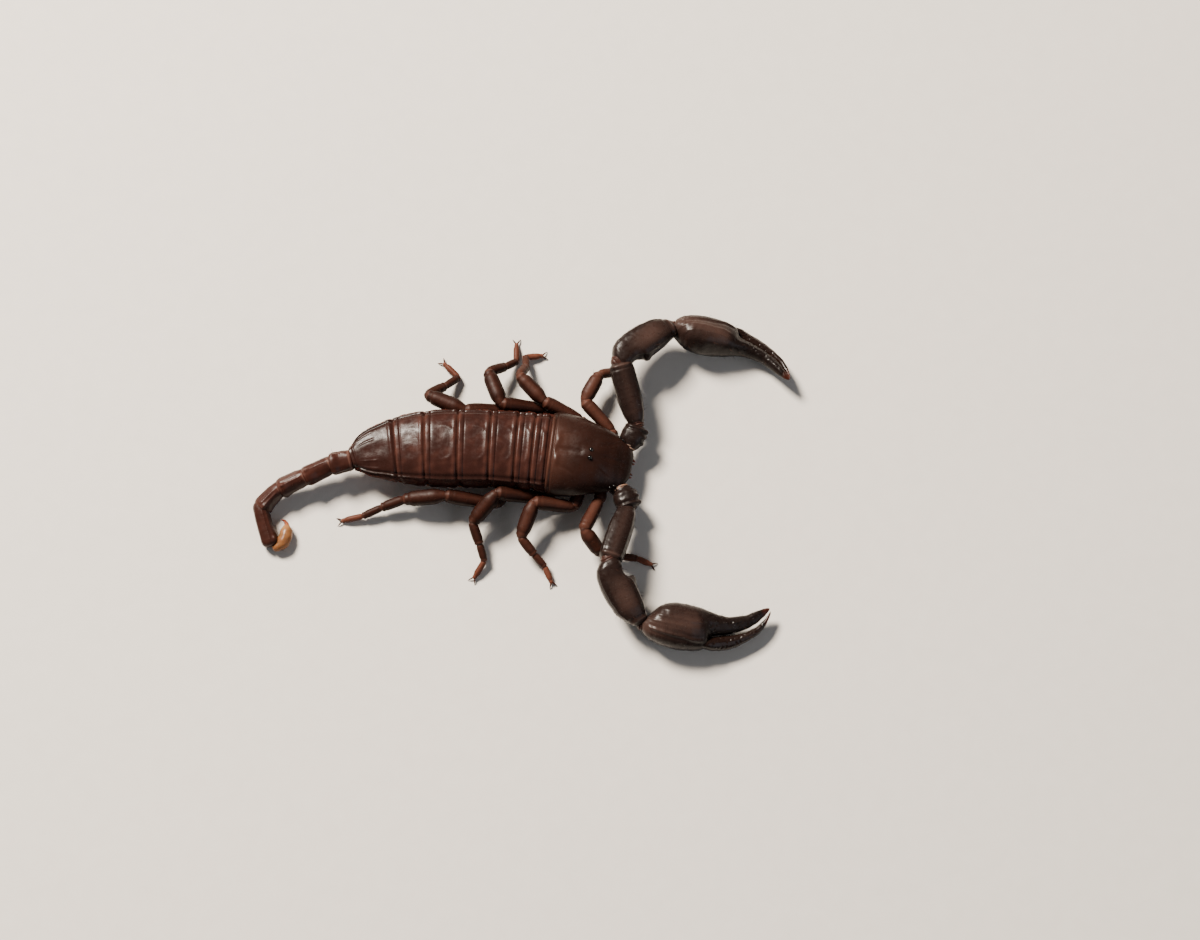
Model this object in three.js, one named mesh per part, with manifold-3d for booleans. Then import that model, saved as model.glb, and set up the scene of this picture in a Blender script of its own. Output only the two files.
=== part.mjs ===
// A small European wood scorpion at rest, life size, as a still museum model.
// Millimetres. +X runs to the head, +Y to the animal's left, +Z up, and the floor is z = 0.
// Every place below is measured from the waist, the middle of the joint between the
// carapace and the first tergite, set down on the floor. The last lines move the origin.
import * as THREE from 'three';
import { mergeVertices } from 'three/addons/utils/BufferGeometryUtils.js';
import Module from 'manifold-3d';

const wasm = await Module();
wasm.setup();

// ---------------------------------------------------------------- driving dimensions

const SEAM = 0.02; // clearance between two neighbouring pieces
const BED = { x: -1.31, y: -1.3 }; // the origin: the middle of the whole animal, seen from above

// The body is bowed sideways: furthest left at the crest, and curving to the right
// gently towards the head and more and more towards the tail.
const CREST = { x: -5.0, y: 0.3 };
const HEAD_BEND_RADIUS = 41.7;
const TAIL_BEND_CUBE = 210;

// Rows of [x, half width, top, widest level, belly] from the head to the root of the tail.
const CARAPACE = [
  [4.02, 0.6, 1.42, 1.29],
  [3.88, 0.92, 1.56, 1.3],
  [3.55, 1.22, 1.8, 1.3],
  [3.0, 1.48, 2.12, 1.3],
  [2.1, 1.78, 2.42, 1.33],
  [1.0, 2.06, 2.52, 1.36],
  [0.3, 2.12, 2.5, 1.4],
  [0.0, 2.02, 2.42, 1.42],
];
const MESOSOMA = [
  [0.0, 2.03, 2.46, 1.42, 0.9],
  [-1.5, 1.98, 2.48, 1.4, 0.8],
  [-2.4, 1.96, 2.5, 1.37, 0.66],
  [-3.0, 1.95, 2.51, 1.35, 0.42],
  [-4.5, 1.97, 2.5, 1.3, 0.3],
  [-5.5, 1.95, 2.45, 1.28, 0.3],
  [-6.2, 1.89, 2.38, 1.28, 0.33],
  [-7.0, 1.78, 2.24, 1.29, 0.38],
  [-7.6, 1.66, 2.12, 1.3, 0.45],
  [-8.1, 1.5, 2.03, 1.31, 0.53],
  [-8.5, 1.36, 1.96, 1.32, 0.6],
  [-9.0, 1.18, 1.88, 1.33, 0.7],
  [-9.5, 0.86, 1.8, 1.34, 0.8],
  [-9.88, 0.6, 1.74, 1.35, 0.88],
];
// Joints between the seven rings of the mesosoma, from the waist back.
const RING_JOINTS = [0, -0.72, -1.55, -2.85, -4.45, -6.1, -7.6, -9.88];

const EYE = { x: 2.03, spread: 0.2, radius: 0.13, height: 2.45 };

// Coxae: where each pair's outer end lies, as [x, distance from the midline, height].
const COXA_ENDS = [
  [2.85, 1.4, 0.78],
  [1.75, 1.55, 0.76],
  [0.4, 1.75, 0.74],
  [-1.9, 1.72, 0.68],
];
const COXA_ROOTS = [2.75, 2.3, 1.75, 1.15]; // x of each pair's inner end at the sternum

// Legs, by pair: lengths of femur, patella, tibia, basitarsus and tarsus, and the girth.
const LEG_LENGTHS = [
  [2.03, 1.63, 1.01, 0.82, 0.81],
  [2.09, 1.85, 1.09, 0.82, 0.89],
  [2.4, 1.93, 1.15, 0.87, 1.0],
  [2.57, 2.12, 1.2, 1.05, 1.09],
];
const LEG_GIRTHS = [0.95, 0.97, 1.0, 1.0];
const FOOT_LEVEL = 0.13; // height of the middle of a foot's tip, which the floor cuts flat
// The pose of each leg: the root of its femur, each segment's compass heading in degrees
// from +X towards +Y, and its climb in degrees. The tarsus comes down to the floor.
const LEG_POSES = {
  left_1: { hip: [3.09, 1.33, 0.85], heading: [134, 62, 19, -23, -48], climb: [12, -3, -36, -28] },
  left_2: { hip: [1.51, 1.89, 0.85], heading: [157, 133, 64, 92, 8], climb: [21, 0, -47, -35] },
  left_3: { hip: [-0.22, 2.43, 0.84], heading: [179, 111, 28, 38, 90], climb: [24, -10, -36, -36] },
  left_4: { hip: [-1.81, 2.4, 0.72], heading: [185, 156, 36, 43, 134], climb: [20, -6, -29, -30] },
  right_1: { hip: [2.47, -2.22, 0.85], heading: [-114, -50, -6, -4, -21], climb: [22, -37, -7, -13] },
  right_2: { hip: [1.18, -2.6, 0.85], heading: [178, -111, -50, -45, -66], climb: [20, -14, -23, -23] },
  right_3: { hip: [-0.41, -2.12, 0.76], heading: [179, -132, -71, -73, -123], climb: [23, -20, -17, -20] },
  right_4: { hip: [-2.68, -2.42, 0.74], heading: [173, 183, 197, 202, 190], climb: [12, -10, -15, -13] },
};

// Pedipalps: the places of the joints from the coxa out to the tip of the pincer, how far
// the pincer's outer edge is turned down in degrees, how far its free finger is closed in
// degrees, and by how much its inner edge is drawn in where the fingers start.
const PALPS = {
  left: {
    joints: [
      [3.94, 0.57, 1.15],
      [4.32, 1.61, 1.3],
      [3.47, 4.58, 2.06],
      [6.2, 6.56, 1.46],
      [12.07, 4.04, 1.04],
    ],
    roll: 36,
    closed: 1.8,
    drawnIn: 0.5,
  },
  right: {
    joints: [
      [3.6, -1.9, 1.15],
      [3.88, -2.77, 1.27],
      [2.96, -5.66, 2.15],
      [4.58, -8.65, 1.26],
      [10.89, -7.94, 0.75],
    ],
    roll: 15,
    closed: 0,
    drawnIn: 0,
  },
};

// Metasoma: the root of the tail, then for each segment its length, heading, climb and
// the angle by which its back leans over to the inside of the curl.
const TAIL_ROOT = [-9.88, -0.31, 1.35];
const TAIL = [
  { length: 1.02, heading: -168, climb: -6, lean: 12, girth: 1.12 },
  { length: 1.44, heading: -156, climb: -8, lean: 30, girth: 0.99 },
  { length: 1.39, heading: -156, climb: -8, lean: 50, girth: 0.95 },
  { length: 1.33, heading: -136, climb: -9, lean: 68, girth: 0.9 },
  { length: 1.98, heading: -74, climb: -8, lean: 80, girth: 0.87 },
];
// Telson: its middle line, folded back beside the last segment, with its radius.
const VESICLE = [
  [-13.66, -4.6, 0.42, 0.17],
  [-13.44, -4.46, 0.42, 0.26],
  [-13.2, -4.16, 0.42, 0.33],
  [-13.1, -3.78, 0.42, 0.31],
  [-13.08, -3.46, 0.43, 0.19],
];
const STING = [
  [-13.07, -3.44, 0.43, 0.15],
  [-13.12, -3.3, 0.44, 0.1],
  [-13.22, -3.2, 0.46, 0.07],
  [-13.34, -3.16, 0.48, 0.03],
];

// ---------------------------------------------------------------- shapes

const point = (x, y, z) => new THREE.Vector3(x, y, z);
const degrees = THREE.MathUtils.degToRad;
const UP = point(0, 0, 1);

// A point a given length away along a heading and a climb.
function ahead(from, length, heading, climb) {
  const flat = Math.cos(degrees(climb));
  const way = point(
    flat * Math.cos(degrees(heading)),
    flat * Math.sin(degrees(heading)),
    Math.sin(degrees(climb)),
  );
  return from.clone().addScaledVector(way, length);
}

// A closed solid through a row of cross-sections. Each has a centre, unit directions across
// and up, its reach to either side, above and below, and how square its corners are:
// 2 is an ellipse and 4 is nearly a box. grow makes the whole solid that much larger.
function loft(sections, sides, grow = 0) {
  const vertices = [];
  const faces = [];
  const last = sections.length - 1;
  sections.forEach((section, row) => {
    const near = sections[Math.max(row - 1, 0)].centre;
    const far = sections[Math.min(row + 1, last)].centre;
    const end = row === 0 ? -grow : row === last ? grow : 0;
    const centre = section.centre.clone();
    centre.addScaledVector(far.clone().sub(near).normalize(), end);
    for (let i = 0; i < sides; i += 1) {
      const angle = (i / sides) * 2 * Math.PI;
      const power = 2 / section.square;
      const c = Math.cos(angle);
      const s = Math.sin(angle);
      const reach = (c > 0 ? section.inner : section.outer) + grow;
      const rise = (s > 0 ? section.above : section.below) + grow;
      const spot = centre.clone();
      spot.addScaledVector(section.across, Math.sign(c) * Math.abs(c) ** power * reach);
      spot.addScaledVector(section.up, Math.sign(s) * Math.abs(s) ** power * rise);
      vertices.push(spot.x, spot.y, spot.z);
      const next = (i + 1) % sides;
      const a = row * sides;
      const b = a + sides;
      if (row < last) faces.push(a + i, a + next, b + next, a + i, b + next, b + i);
      if (i > 1) {
        if (row === 0) faces.push(0, i, i - 1);
        if (row === last) faces.push(a, a + i - 1, a + i);
      }
    }
  });
  const made = (triVerts) => new wasm.Manifold(new wasm.Mesh({
    numProp: 3,
    vertProperties: new Float32Array(vertices),
    triVerts: new Uint32Array(triVerts),
  }));
  const solid = made(faces);
  return solid.volume() > 0 ? solid : made(faces.reverse());
}

// A straight segment of a limb between two joints. Rows are [part of the length, reach to
// the inner side, to the outer side, above, below]; hand is 1 where the inner side lies
// to the left of the way out, and -1 where it lies to the right.
function limb(from, to, rows, { sides = 8, square = 2.4, hand = 1, roll = 0, grow = 0 } = {}) {
  const way = to.clone().sub(from).normalize();
  const level = UP.clone().cross(way).normalize().multiplyScalar(hand);
  const upright = way.clone().cross(level).multiplyScalar(hand);
  const c = Math.cos(degrees(roll));
  const s = Math.sin(degrees(roll));
  const across = level.clone().multiplyScalar(c).addScaledVector(upright, s);
  const up = upright.clone().multiplyScalar(c).addScaledVector(level, -s);
  const length = from.distanceTo(to);
  const sections = rows.map(([part, inner, outer, above, below]) => {
    const shift = (inner - outer) / 2;
    const half = (inner + outer) / 2;
    const centre = from.clone().addScaledVector(way, part * length);
    centre.addScaledVector(across, shift);
    return { centre, across, up, inner: half, outer: half, above, below, square };
  });
  return loft(sections, sides, grow);
}

// A limb of several segments in one skin, mitred at its joints. Stops are [number of the
// segment, part of its length, half width, half height].
function bentLimb(places, stops, sides, grow = 0) {
  const ways = places.slice(1).map((place, i) => place.clone().sub(places[i]).normalize());
  const sections = stops.map(([segment, part, wide, high]) => {
    const atJoint = part === 1 && segment < ways.length - 1;
    const bend = atJoint ? ways[segment].angleTo(ways[segment + 1]) : 0;
    const way = ways[segment].clone();
    if (atJoint) way.add(ways[segment + 1]).normalize();
    const across = UP.clone().cross(way).normalize();
    const up = way.clone().cross(across);
    const swell = 1 / Math.sqrt(Math.cos(bend / 2));
    const half = { inner: wide * swell, outer: wide * swell, above: high * swell, below: high * swell };
    const centre = places[segment].clone().lerp(places[segment + 1], part);
    return { centre, across, up, square: 2.4, ...half };
  });
  return loft(sections, sides, grow);
}

// A round tapering horn along a bent middle line: rows are [x, y, z, radius].
function horn(rows, sides, grow = 0) {
  const places = rows.map(([x, y, z]) => point(x, y, z));
  const sections = rows.map((row, i) => {
    const near = places[Math.max(i - 1, 0)];
    const far = places[Math.min(i + 1, rows.length - 1)];
    const way = far.clone().sub(near).normalize();
    const across = UP.clone().cross(way).normalize();
    const up = way.clone().cross(across);
    const r = row[3];
    return { centre: places[i], across, up, inner: r, outer: r, above: r, below: r, square: 2 };
  });
  return loft(sections, sides, grow);
}

const join = (first, ...others) => others.reduce((whole, piece) => whole.add(piece), first);
const cut = (first, ...others) => others.reduce((whole, piece) => whole.subtract(piece), first);

// A solid of a closed geometry of three.js.
function solidOf(geometry) {
  geometry.deleteAttribute('normal');
  geometry.deleteAttribute('uv');
  const merged = mergeVertices(geometry);
  return new wasm.Manifold(new wasm.Mesh({
    numProp: 3,
    vertProperties: new Float32Array(merged.getAttribute('position').array),
    triVerts: new Uint32Array(merged.index.array),
  }));
}
const GROUND_SIZE = { width: 60, depth: 4 };
const GROUND = solidOf(
  new THREE.BoxGeometry(GROUND_SIZE.width, GROUND_SIZE.width, GROUND_SIZE.depth)
    .translate(0, 0, -GROUND_SIZE.depth / 2));

// ---------------------------------------------------------------- trunk

// The middle line of the trunk, seen from above, and the sections square to it.
function spineY(x) {
  const d = x - CREST.x;
  return x > CREST.x ? CREST.y - (d * d) / (2 * HEAD_BEND_RADIUS) : CREST.y + d ** 3 / TAIL_BEND_CUBE;
}
function spineSlope(x) {
  const d = x - CREST.x;
  return x > CREST.x ? -d / HEAD_BEND_RADIUS : (3 * d * d) / TAIL_BEND_CUBE;
}
function besideSpine(x, side, height) {
  const angle = Math.atan(spineSlope(x));
  return point(x - Math.sin(angle) * side, spineY(x) + Math.cos(angle) * side, height);
}
function trunkSection(x, half, top, level, low, square) {
  const across = besideSpine(x, 1, 0).sub(besideSpine(x, 0, 0));
  const reach = { inner: half, outer: half, above: top - level, below: level - low };
  return { centre: besideSpine(x, 0, level), across, up: UP, square, ...reach };
}

// A row of a table at any x between its first and last row.
function rowAt(table, x) {
  const after = Math.max(1, table.findIndex((row) => row[0] <= x));
  const [a, b] = [table[after - 1], table[after]];
  const part = (x - a[0]) / (b[0] - a[0]);
  return a.map((value, i) => value + part * (b[i] - value));
}

const SHIELD_RIM = 0.13; // thickness of the carapace below its widest level
function carapace(grow) {
  const sections = CARAPACE.map(([x, half, top, level]) => (
    trunkSection(x, half, top, level, level - SHIELD_RIM, 2.3)));
  return loft(sections, 20, grow);
}

// A ring of the mesosoma. Its front edge is tucked in under the ring before it, and its
// rear edge stands a little proud, as the back plates overlap like tiles.
const TUCK = 0.05;
function mesosomaRing(number, grow) {
  const front = RING_JOINTS[number - 1] - SEAM / 2;
  const rear = RING_JOINTS[number] + SEAM / 2;
  const length = front - rear;
  const stops = number === 7 ? [0, 0.15, 0.35, 0.55, 0.75, 0.88, 1] : [0, 0.22, 0.85, 1];
  const sections = stops.map((part) => {
    const [x, half, top, level, low] = rowAt(MESOSOMA, front - part * length);
    const tuck = part === 0 ? TUCK : part === 1 ? TUCK / 2 : 0;
    return trunkSection(x, half - tuck, top - tuck, level, low + tuck, 2.5);
  });
  return loft(sections, 16, grow);
}

// The underside of the head end: the sternum with the coxae of the four leg pairs and of
// the pedipalps radiating from it. Rows of the floor are [x, half width, top, widest
// level, belly], and rows of a coxa are those of a limb.
const STERNUM_ROWS = [
  [3.35, 0.85, 1.3, 0.95, 0.62],
  [2.6, 1.25, 1.3, 0.9, 0.5],
  [1.4, 1.5, 1.4, 0.9, 0.42],
  [0.3, 1.55, 1.4, 0.95, 0.45],
  [-0.6, 1.2, 1.3, 0.95, 0.6],
];
const COXA_ROWS = [
  [0, 0.3, 0.3, 0.2, 0.2],
  [0.4, 0.4, 0.4, 0.3, 0.3],
  [1.02, 0.32, 0.32, 0.3, 0.3],
];
const COXA_ROOT = { aside: 0.3, level: 0.66 };
const PALP_COXA_ROWS = [
  [0, 0.35, 0.35, 0.3, 0.35],
  [0.6, 0.45, 0.45, 0.32, 0.4],
  [0.97, 0.4, 0.4, 0.3, 0.36],
];
const PALP_COXA_ROOT = { x: 2.7, aside: 0.55, level: 0.95 };
function coxosternum(grow) {
  const floor = STERNUM_ROWS.map((row) => trunkSection(...row, 2.6));
  let solid = loft(floor, 8, grow);
  for (const side of ['left', 'right']) {
    const sign = side === 'left' ? 1 : -1;
    COXA_ENDS.forEach(([x, reach, level], pair) => {
      const root = besideSpine(COXA_ROOTS[pair], sign * COXA_ROOT.aside, COXA_ROOT.level);
      const end = besideSpine(x, sign * reach, level);
      solid = join(solid, limb(root, end, COXA_ROWS, { sides: 6, grow }));
    });
    const root = besideSpine(PALP_COXA_ROOT.x, sign * PALP_COXA_ROOT.aside, PALP_COXA_ROOT.level);
    const shoulder = point(...PALPS[side].joints[0]);
    solid = join(solid, limb(root, shoulder, PALP_COXA_ROWS, { sides: 6, grow }));
  }
  return solid;
}

// A chelicera: a short stout jaw in front of the mouth, ending in a pair of fingers.
const JAW = { root: 3.1, mouth: 3.98, aside: 0.35, level: 1.0, fingerGap: 0.14, fingerReach: 0.16 };
const JAW_ROWS = [
  [0, 0.2, 0.2, 0.2, 0.24],
  [0.5, 0.32, 0.32, 0.3, 0.32],
  [1, 0.24, 0.24, 0.2, 0.22],
];
const JAW_FINGER_ROWS = [
  [-0.3, 0.1, 0.1, 0.12, 0.12],
  [1, 0.03, 0.03, 0.03, 0.03],
];
function chelicera(side, grow) {
  const root = besideSpine(JAW.root, side * JAW.aside, JAW.level);
  const mouth = besideSpine(JAW.mouth, side * JAW.aside, JAW.level);
  const fingers = [JAW.fingerGap, -JAW.fingerGap].map((offset) => {
    const base = besideSpine(JAW.mouth, side * JAW.aside + offset, JAW.level);
    const tip = besideSpine(JAW.mouth + JAW.fingerReach, side * JAW.aside + offset / 2, JAW.level);
    return limb(base, tip, JAW_FINGER_ROWS, { sides: 6, grow });
  });
  return join(limb(root, mouth, JAW_ROWS, { sides: 8, grow }), ...fingers);
}

function medianEye(side) {
  const middle = besideSpine(EYE.x, side * EYE.spread, EYE.height);
  const rows = [-0.9, -0.6, 0, 0.6, 0.9].map((part) => {
    const r = EYE.radius * Math.sqrt(1 - part * part);
    return [middle.x + part * EYE.radius, middle.y, middle.z, r];
  });
  return horn(rows, 8);
}

// A pectine: the comb-like organ behind the last coxae, a bar with a row of blunt teeth.
const COMB = {
  root: { x: -0.95, aside: 0.28 },
  end: { x: -1.75, aside: 1.45 },
  level: 0.42,
  teeth: 6,
  firstTooth: 0.8, // in tooth pitches from the root of the bar
  toothLength: 0.42,
  toothSplay: 0.05,
  toothDrop: 0.04,
};
const COMB_BAR_ROWS = [
  [0, 0.16, 0.16, 0.14, 0.14],
  [0.5, 0.17, 0.17, 0.15, 0.15],
  [1, 0.1, 0.1, 0.12, 0.12],
];
const COMB_TOOTH_ROWS = [
  [0, 0.08, 0.08, 0.1, 0.1],
  [1, 0.06, 0.06, 0.07, 0.07],
];
function pectine(side) {
  const root = besideSpine(COMB.root.x, side * COMB.root.aside, COMB.level);
  const end = besideSpine(COMB.end.x, side * COMB.end.aside, COMB.level);
  const reach = point(-COMB.toothLength, side * COMB.toothSplay, -COMB.toothDrop);
  let solid = limb(root, end, COMB_BAR_ROWS, { sides: 4 });
  for (let i = 0; i < COMB.teeth; i += 1) {
    const base = root.clone().lerp(end, (i + COMB.firstTooth) / COMB.teeth);
    const tip = base.clone().add(reach);
    solid = join(solid, limb(base, tip, COMB_TOOTH_ROWS, { sides: 4 }));
  }
  return solid;
}

// ---------------------------------------------------------------- tail

const TAIL_JOINTS = TAIL.reduce((joints, { length, heading, climb }) => (
  [...joints, ahead(joints[joints.length - 1], length, heading, climb)]), [point(...TAIL_ROOT)]);

// A tail segment: a keeled barrel, narrow where it enters the one before, with the keels
// of its back rising to a bump at the rear. Rows are in halves of the segment's girth.
const TAIL_ROWS = [
  [-0.02, 0.76, 0.76, 0.74, 0.78],
  [0.12, 0.94, 0.94, 0.84, 0.92],
  [0.5, 0.96, 0.96, 0.86, 0.98],
  [0.86, 1.0, 1.0, 1.06, 0.98],
  [0.96, 0.9, 0.9, 0.98, 0.9],
  [1.03, 0.7, 0.7, 0.68, 0.7],
];
function tailSegment(number, grow) {
  const { girth, lean } = TAIL[number - 1];
  const rows = TAIL_ROWS.map(([part, ...reach]) => [part, ...reach.map((r) => (r * girth) / 2)]);
  const [from, to] = [TAIL_JOINTS[number - 1], TAIL_JOINTS[number]];
  return limb(from, to, rows, { sides: 8, square: 3, roll: -lean, grow });
}

// ---------------------------------------------------------------- pedipalps

// Rows are [millimetres along, reach to the inner side, to the outer side, above, below].
const TROCHANTER_ROWS = [
  [-0.25, 0.34, 0.24, 0.3, 0.3],
  [0.0, 0.58, 0.42, 0.42, 0.44],
  [0.4, 0.7, 0.55, 0.5, 0.48],
  [0.8, 0.74, 0.5, 0.46, 0.44],
  [1.05, 0.46, 0.36, 0.34, 0.34],
];
const PALP_FEMUR_ROWS = [
  [-0.02, 0.36, 0.38, 0.32, 0.32],
  [0.2, 0.44, 0.44, 0.42, 0.42],
  [0.7, 0.55, 0.55, 0.5, 0.5],
  [1.6, 0.62, 0.62, 0.55, 0.55],
  [2.65, 0.63, 0.6, 0.55, 0.55],
  [3.0, 0.54, 0.54, 0.48, 0.48],
  [3.2, 0.36, 0.36, 0.34, 0.34],
];
const PALP_PATELLA_ROWS = [
  [-0.08, 0.36, 0.52, 0.4, 0.4],
  [0.2, 0.46, 0.8, 0.52, 0.52],
  [0.8, 0.34, 1.0, 0.58, 0.58],
  [1.15, 0.5, 1.04, 0.62, 0.62],
  [1.45, 0.62, 1.05, 0.65, 0.65],
  [2.2, 0.58, 0.98, 0.66, 0.66],
  [2.9, 0.45, 0.74, 0.58, 0.58],
  [3.3, 0.38, 0.46, 0.44, 0.44],
  [3.48, 0.3, 0.36, 0.34, 0.34],
];
const PATELLA_SPUR = { along: 1.17, root: 0.3, reach: 0.79 };
const SPUR_ROWS = [
  [0, 0.14, 0.14, 0.14, 0.14],
  [1, 0.04, 0.04, 0.04, 0.04],
];
const MANUS_ROWS = [
  [-0.02, 0.22, 0.46, 0.4, 0.4],
  [0.15, 0.3, 0.64, 0.54, 0.54],
  [0.4, 0.44, 0.82, 0.68, 0.68],
  [0.75, 0.7, 1.04, 0.8, 0.8],
  [1.1, 0.87, 1.2, 0.86, 0.86],
  [1.55, 0.93, 1.36, 0.88, 0.88],
  [2.1, 0.84, 1.47, 0.87, 0.87],
  [2.6, 0.69, 1.52, 0.8, 0.8],
  [3.05, 0.52, 1.52, 0.68, 0.68],
];
const FIXED_FINGER_ROWS = [
  [2.5, 0.66, 0.8, 0.62, 0.62],
  [3.05, 0.51, 0.9, 0.54, 0.52],
  [3.5, 0.28, 0.9, 0.46, 0.44],
  [4.0, 0.06, 0.88, 0.39, 0.37],
  [4.5, -0.04, 0.84, 0.33, 0.32],
  [5.0, -0.03, 0.73, 0.29, 0.28],
  [5.5, 0.08, 0.54, 0.26, 0.25],
  [5.95, 0.19, 0.24, 0.2, 0.2],
  [6.35, 0.22, -0.1, 0.07, 0.07],
];
const MOVABLE_FINGER_ROWS = [
  [3.08, -0.94, 1.56, 0.44, 0.46],
  [3.4, -0.93, 1.64, 0.43, 0.45],
  [3.9, -0.92, 1.65, 0.38, 0.4],
  [4.4, -0.92, 1.58, 0.33, 0.35],
  [4.85, -0.88, 1.42, 0.3, 0.31],
  [5.36, -0.75, 1.19, 0.26, 0.27],
  [5.9, -0.43, 0.85, 0.21, 0.21],
  [6.2, -0.16, 0.5, 0.14, 0.14],
  [6.4, 0.04, 0.16, 0.05, 0.05],
];
const PINCER_LENGTH = 6.4;
const FINGER_HINGE = 3.08; // how far along the pincer its free finger swings
const SLIT_SHARE = 0.25;

// The five solids of a pedipalp, each a function of how much larger it is wanted.
function pedipalp(side) {
  const { joints, roll, closed, drawnIn } = PALPS[side];
  const hand = side === 'left' ? -1 : 1;
  const [shoulder, hip, elbow, wrist, tips] = joints.map((place) => point(...place));
  const segment = (from, to, table, options) => {
    const length = from.distanceTo(to);
    const rows = table.map(([along, ...reach]) => [along / length, ...reach]);
    return limb(from, to, rows, { hand, ...options });
  };
  const trochanter = (grow) => segment(shoulder, hip, TROCHANTER_ROWS, { sides: 8, grow });
  const femur = (grow) => segment(hip, elbow, PALP_FEMUR_ROWS, { sides: 8, square: 3, grow });
  const patella = (grow) => {
    const body = segment(elbow, wrist, PALP_PATELLA_ROWS, { sides: 8, square: 3, grow });
    const way = wrist.clone().sub(elbow).normalize();
    const inward = UP.clone().cross(way).multiplyScalar(hand);
    const spurAt = (reach) => (
      elbow.clone().addScaledVector(way, PATELLA_SPUR.along).addScaledVector(inward, reach));
    const [root, tip] = [spurAt(PATELLA_SPUR.root), spurAt(PATELLA_SPUR.reach)];
    return join(body, limb(root, tip, SPUR_ROWS, { sides: 5, grow }));
  };
  // The inner edge is drawn in most where the fingers start, and the slit between the
  // fingers moves a part of that way with it.
  const drawn = (along) => {
    const part = Math.min(Math.max(along / PINCER_LENGTH, 0), 1);
    return drawnIn * Math.sin(Math.PI * part) ** 1.5;
  };
  const manusRows = MANUS_ROWS.map(([along, inner, ...rest]) => [along, inner - drawn(along), ...rest]);
  const fixedRows = FIXED_FINGER_ROWS.map(([along, inner, outer, ...rest]) => (
    [along, inner - drawn(along), outer + SLIT_SHARE * drawn(along), ...rest]));
  const movableRows = MOVABLE_FINGER_ROWS.map(([along, inner, outer, ...rest]) => {
    const shift = (along - FINGER_HINGE) * Math.tan(degrees(closed));
    return [along, inner + shift - SLIT_SHARE * drawn(along), outer - shift, ...rest];
  });
  const manus = (grow) => join(
    segment(wrist, tips, manusRows, { sides: 10, square: 2.6, roll, grow }),
    segment(wrist, tips, fixedRows, { sides: 6, square: 2.3, roll, grow }),
  );
  const finger = (grow) => segment(wrist, tips, movableRows, { sides: 6, square: 2.3, roll, grow });
  return { trochanter, femur, patella, manus, finger };
}

// ---------------------------------------------------------------- legs

// Stops are [segment, part of its length, half width, half height] for a leg of girth 1.
const THIGH_STOPS = [
  [0, 0.0, 0.26, 0.26],
  [0, 0.5, 0.33, 0.32],
  [0, 1.0, 0.28, 0.3],
  [1, 0.3, 0.31, 0.33],
  [1, 0.65, 0.33, 0.35],
  [1, 0.92, 0.3, 0.32],
  [1, 1.05, 0.19, 0.21],
];
const PATELLA_STOPS = [
  [0, -0.04, 0.2, 0.22],
  [0, 0.15, 0.32, 0.33],
  [0, 0.55, 0.36, 0.37],
  [0, 0.88, 0.29, 0.3],
  [0, 1.06, 0.18, 0.19],
];
const FOOT_STOPS = [
  [0, 0.0, 0.16, 0.17],
  [0, 0.25, 0.26, 0.27],
  [0, 1.0, 0.25, 0.25],
  [1, 0.5, 0.26, 0.26],
  [1, 1.0, 0.24, 0.24],
  [2, 0.5, 0.25, 0.25],
  [2, 1.0, 0.19, 0.21],
];

function legSolids(side, pair) {
  const { hip, heading, climb } = LEG_POSES[`${side}_${pair}`];
  const girth = LEG_GIRTHS[pair - 1];
  const places = [point(...hip)];
  LEG_LENGTHS[pair - 1].forEach((length, i) => {
    const from = places[i];
    const drop = THREE.MathUtils.radToDeg(Math.asin((FOOT_LEVEL - from.z) / length));
    places.push(ahead(from, length, heading[i], i < 4 ? climb[i] : drop));
  });
  const [x, reach, height] = COXA_ENDS[pair - 1];
  const root = besideSpine(x, side === 'left' ? reach : -reach, height);
  const fleshed = (stops) => stops.map(([i, part, wide, high]) => [i, part, wide * girth, high * girth]);
  return {
    femur: (grow) => bentLimb([root, ...places.slice(0, 2)], fleshed(THIGH_STOPS), 6, grow),
    patella: (grow) => bentLimb(places.slice(1, 3), fleshed(PATELLA_STOPS), 6, grow),
    foot: () => cut(bentLimb(places.slice(2), fleshed(FOOT_STOPS), 6), GROUND),
  };
}

// ---------------------------------------------------------------- assembly

const COLOURS = {
  shield: { color: 0x33221c, roughness: 0.4, metalness: 0 },
  rings: { color: 0x553429, roughness: 0.38, metalness: 0 },
  belly: { color: 0x6b4430, roughness: 0.45, metalness: 0 },
  palps: { color: 0x3b2823, roughness: 0.35, metalness: 0 },
  fingers: { color: 0x2a1814, roughness: 0.3, metalness: 0 },
  legs: { color: 0x5d2f25, roughness: 0.42, metalness: 0 },
  feet: { color: 0x8a4a33, roughness: 0.45, metalness: 0 },
  tail: { color: 0x472b24, roughness: 0.4, metalness: 0 },
  telson: { color: 0xb07b55, roughness: 0.35, metalness: 0 },
  eyes: { color: 0x0b0908, roughness: 0.08, metalness: 0 },
};

const scorpion = new THREE.Group();
scorpion.position.set(-BED.x, -BED.y, 0);

function place(name, finish, solid) {
  const { vertProperties, triVerts, numProp } = solid.getMesh();
  if (numProp !== 3) throw new Error('a solid carries more than its places');
  const geometry = new THREE.BufferGeometry();
  geometry.setAttribute('position', new THREE.BufferAttribute(vertProperties, 3));
  geometry.setIndex(new THREE.BufferAttribute(triVerts, 1));
  geometry.computeVertexNormals();
  const mesh = new THREE.Mesh(geometry, new THREE.MeshStandardMaterial(COLOURS[finish]));
  mesh.name = name;
  scorpion.add(mesh);
}

// Each piece is cut clear of the ones it meets by their own shapes made a seam larger.
const ringRooms = RING_JOINTS.slice(1).map((_, i) => mesosomaRing(i + 1, SEAM));
const shieldRoom = carapace(SEAM);
const undersideRoom = coxosternum(SEAM);
const jawRooms = [chelicera(1, SEAM), chelicera(-1, SEAM)];

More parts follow.
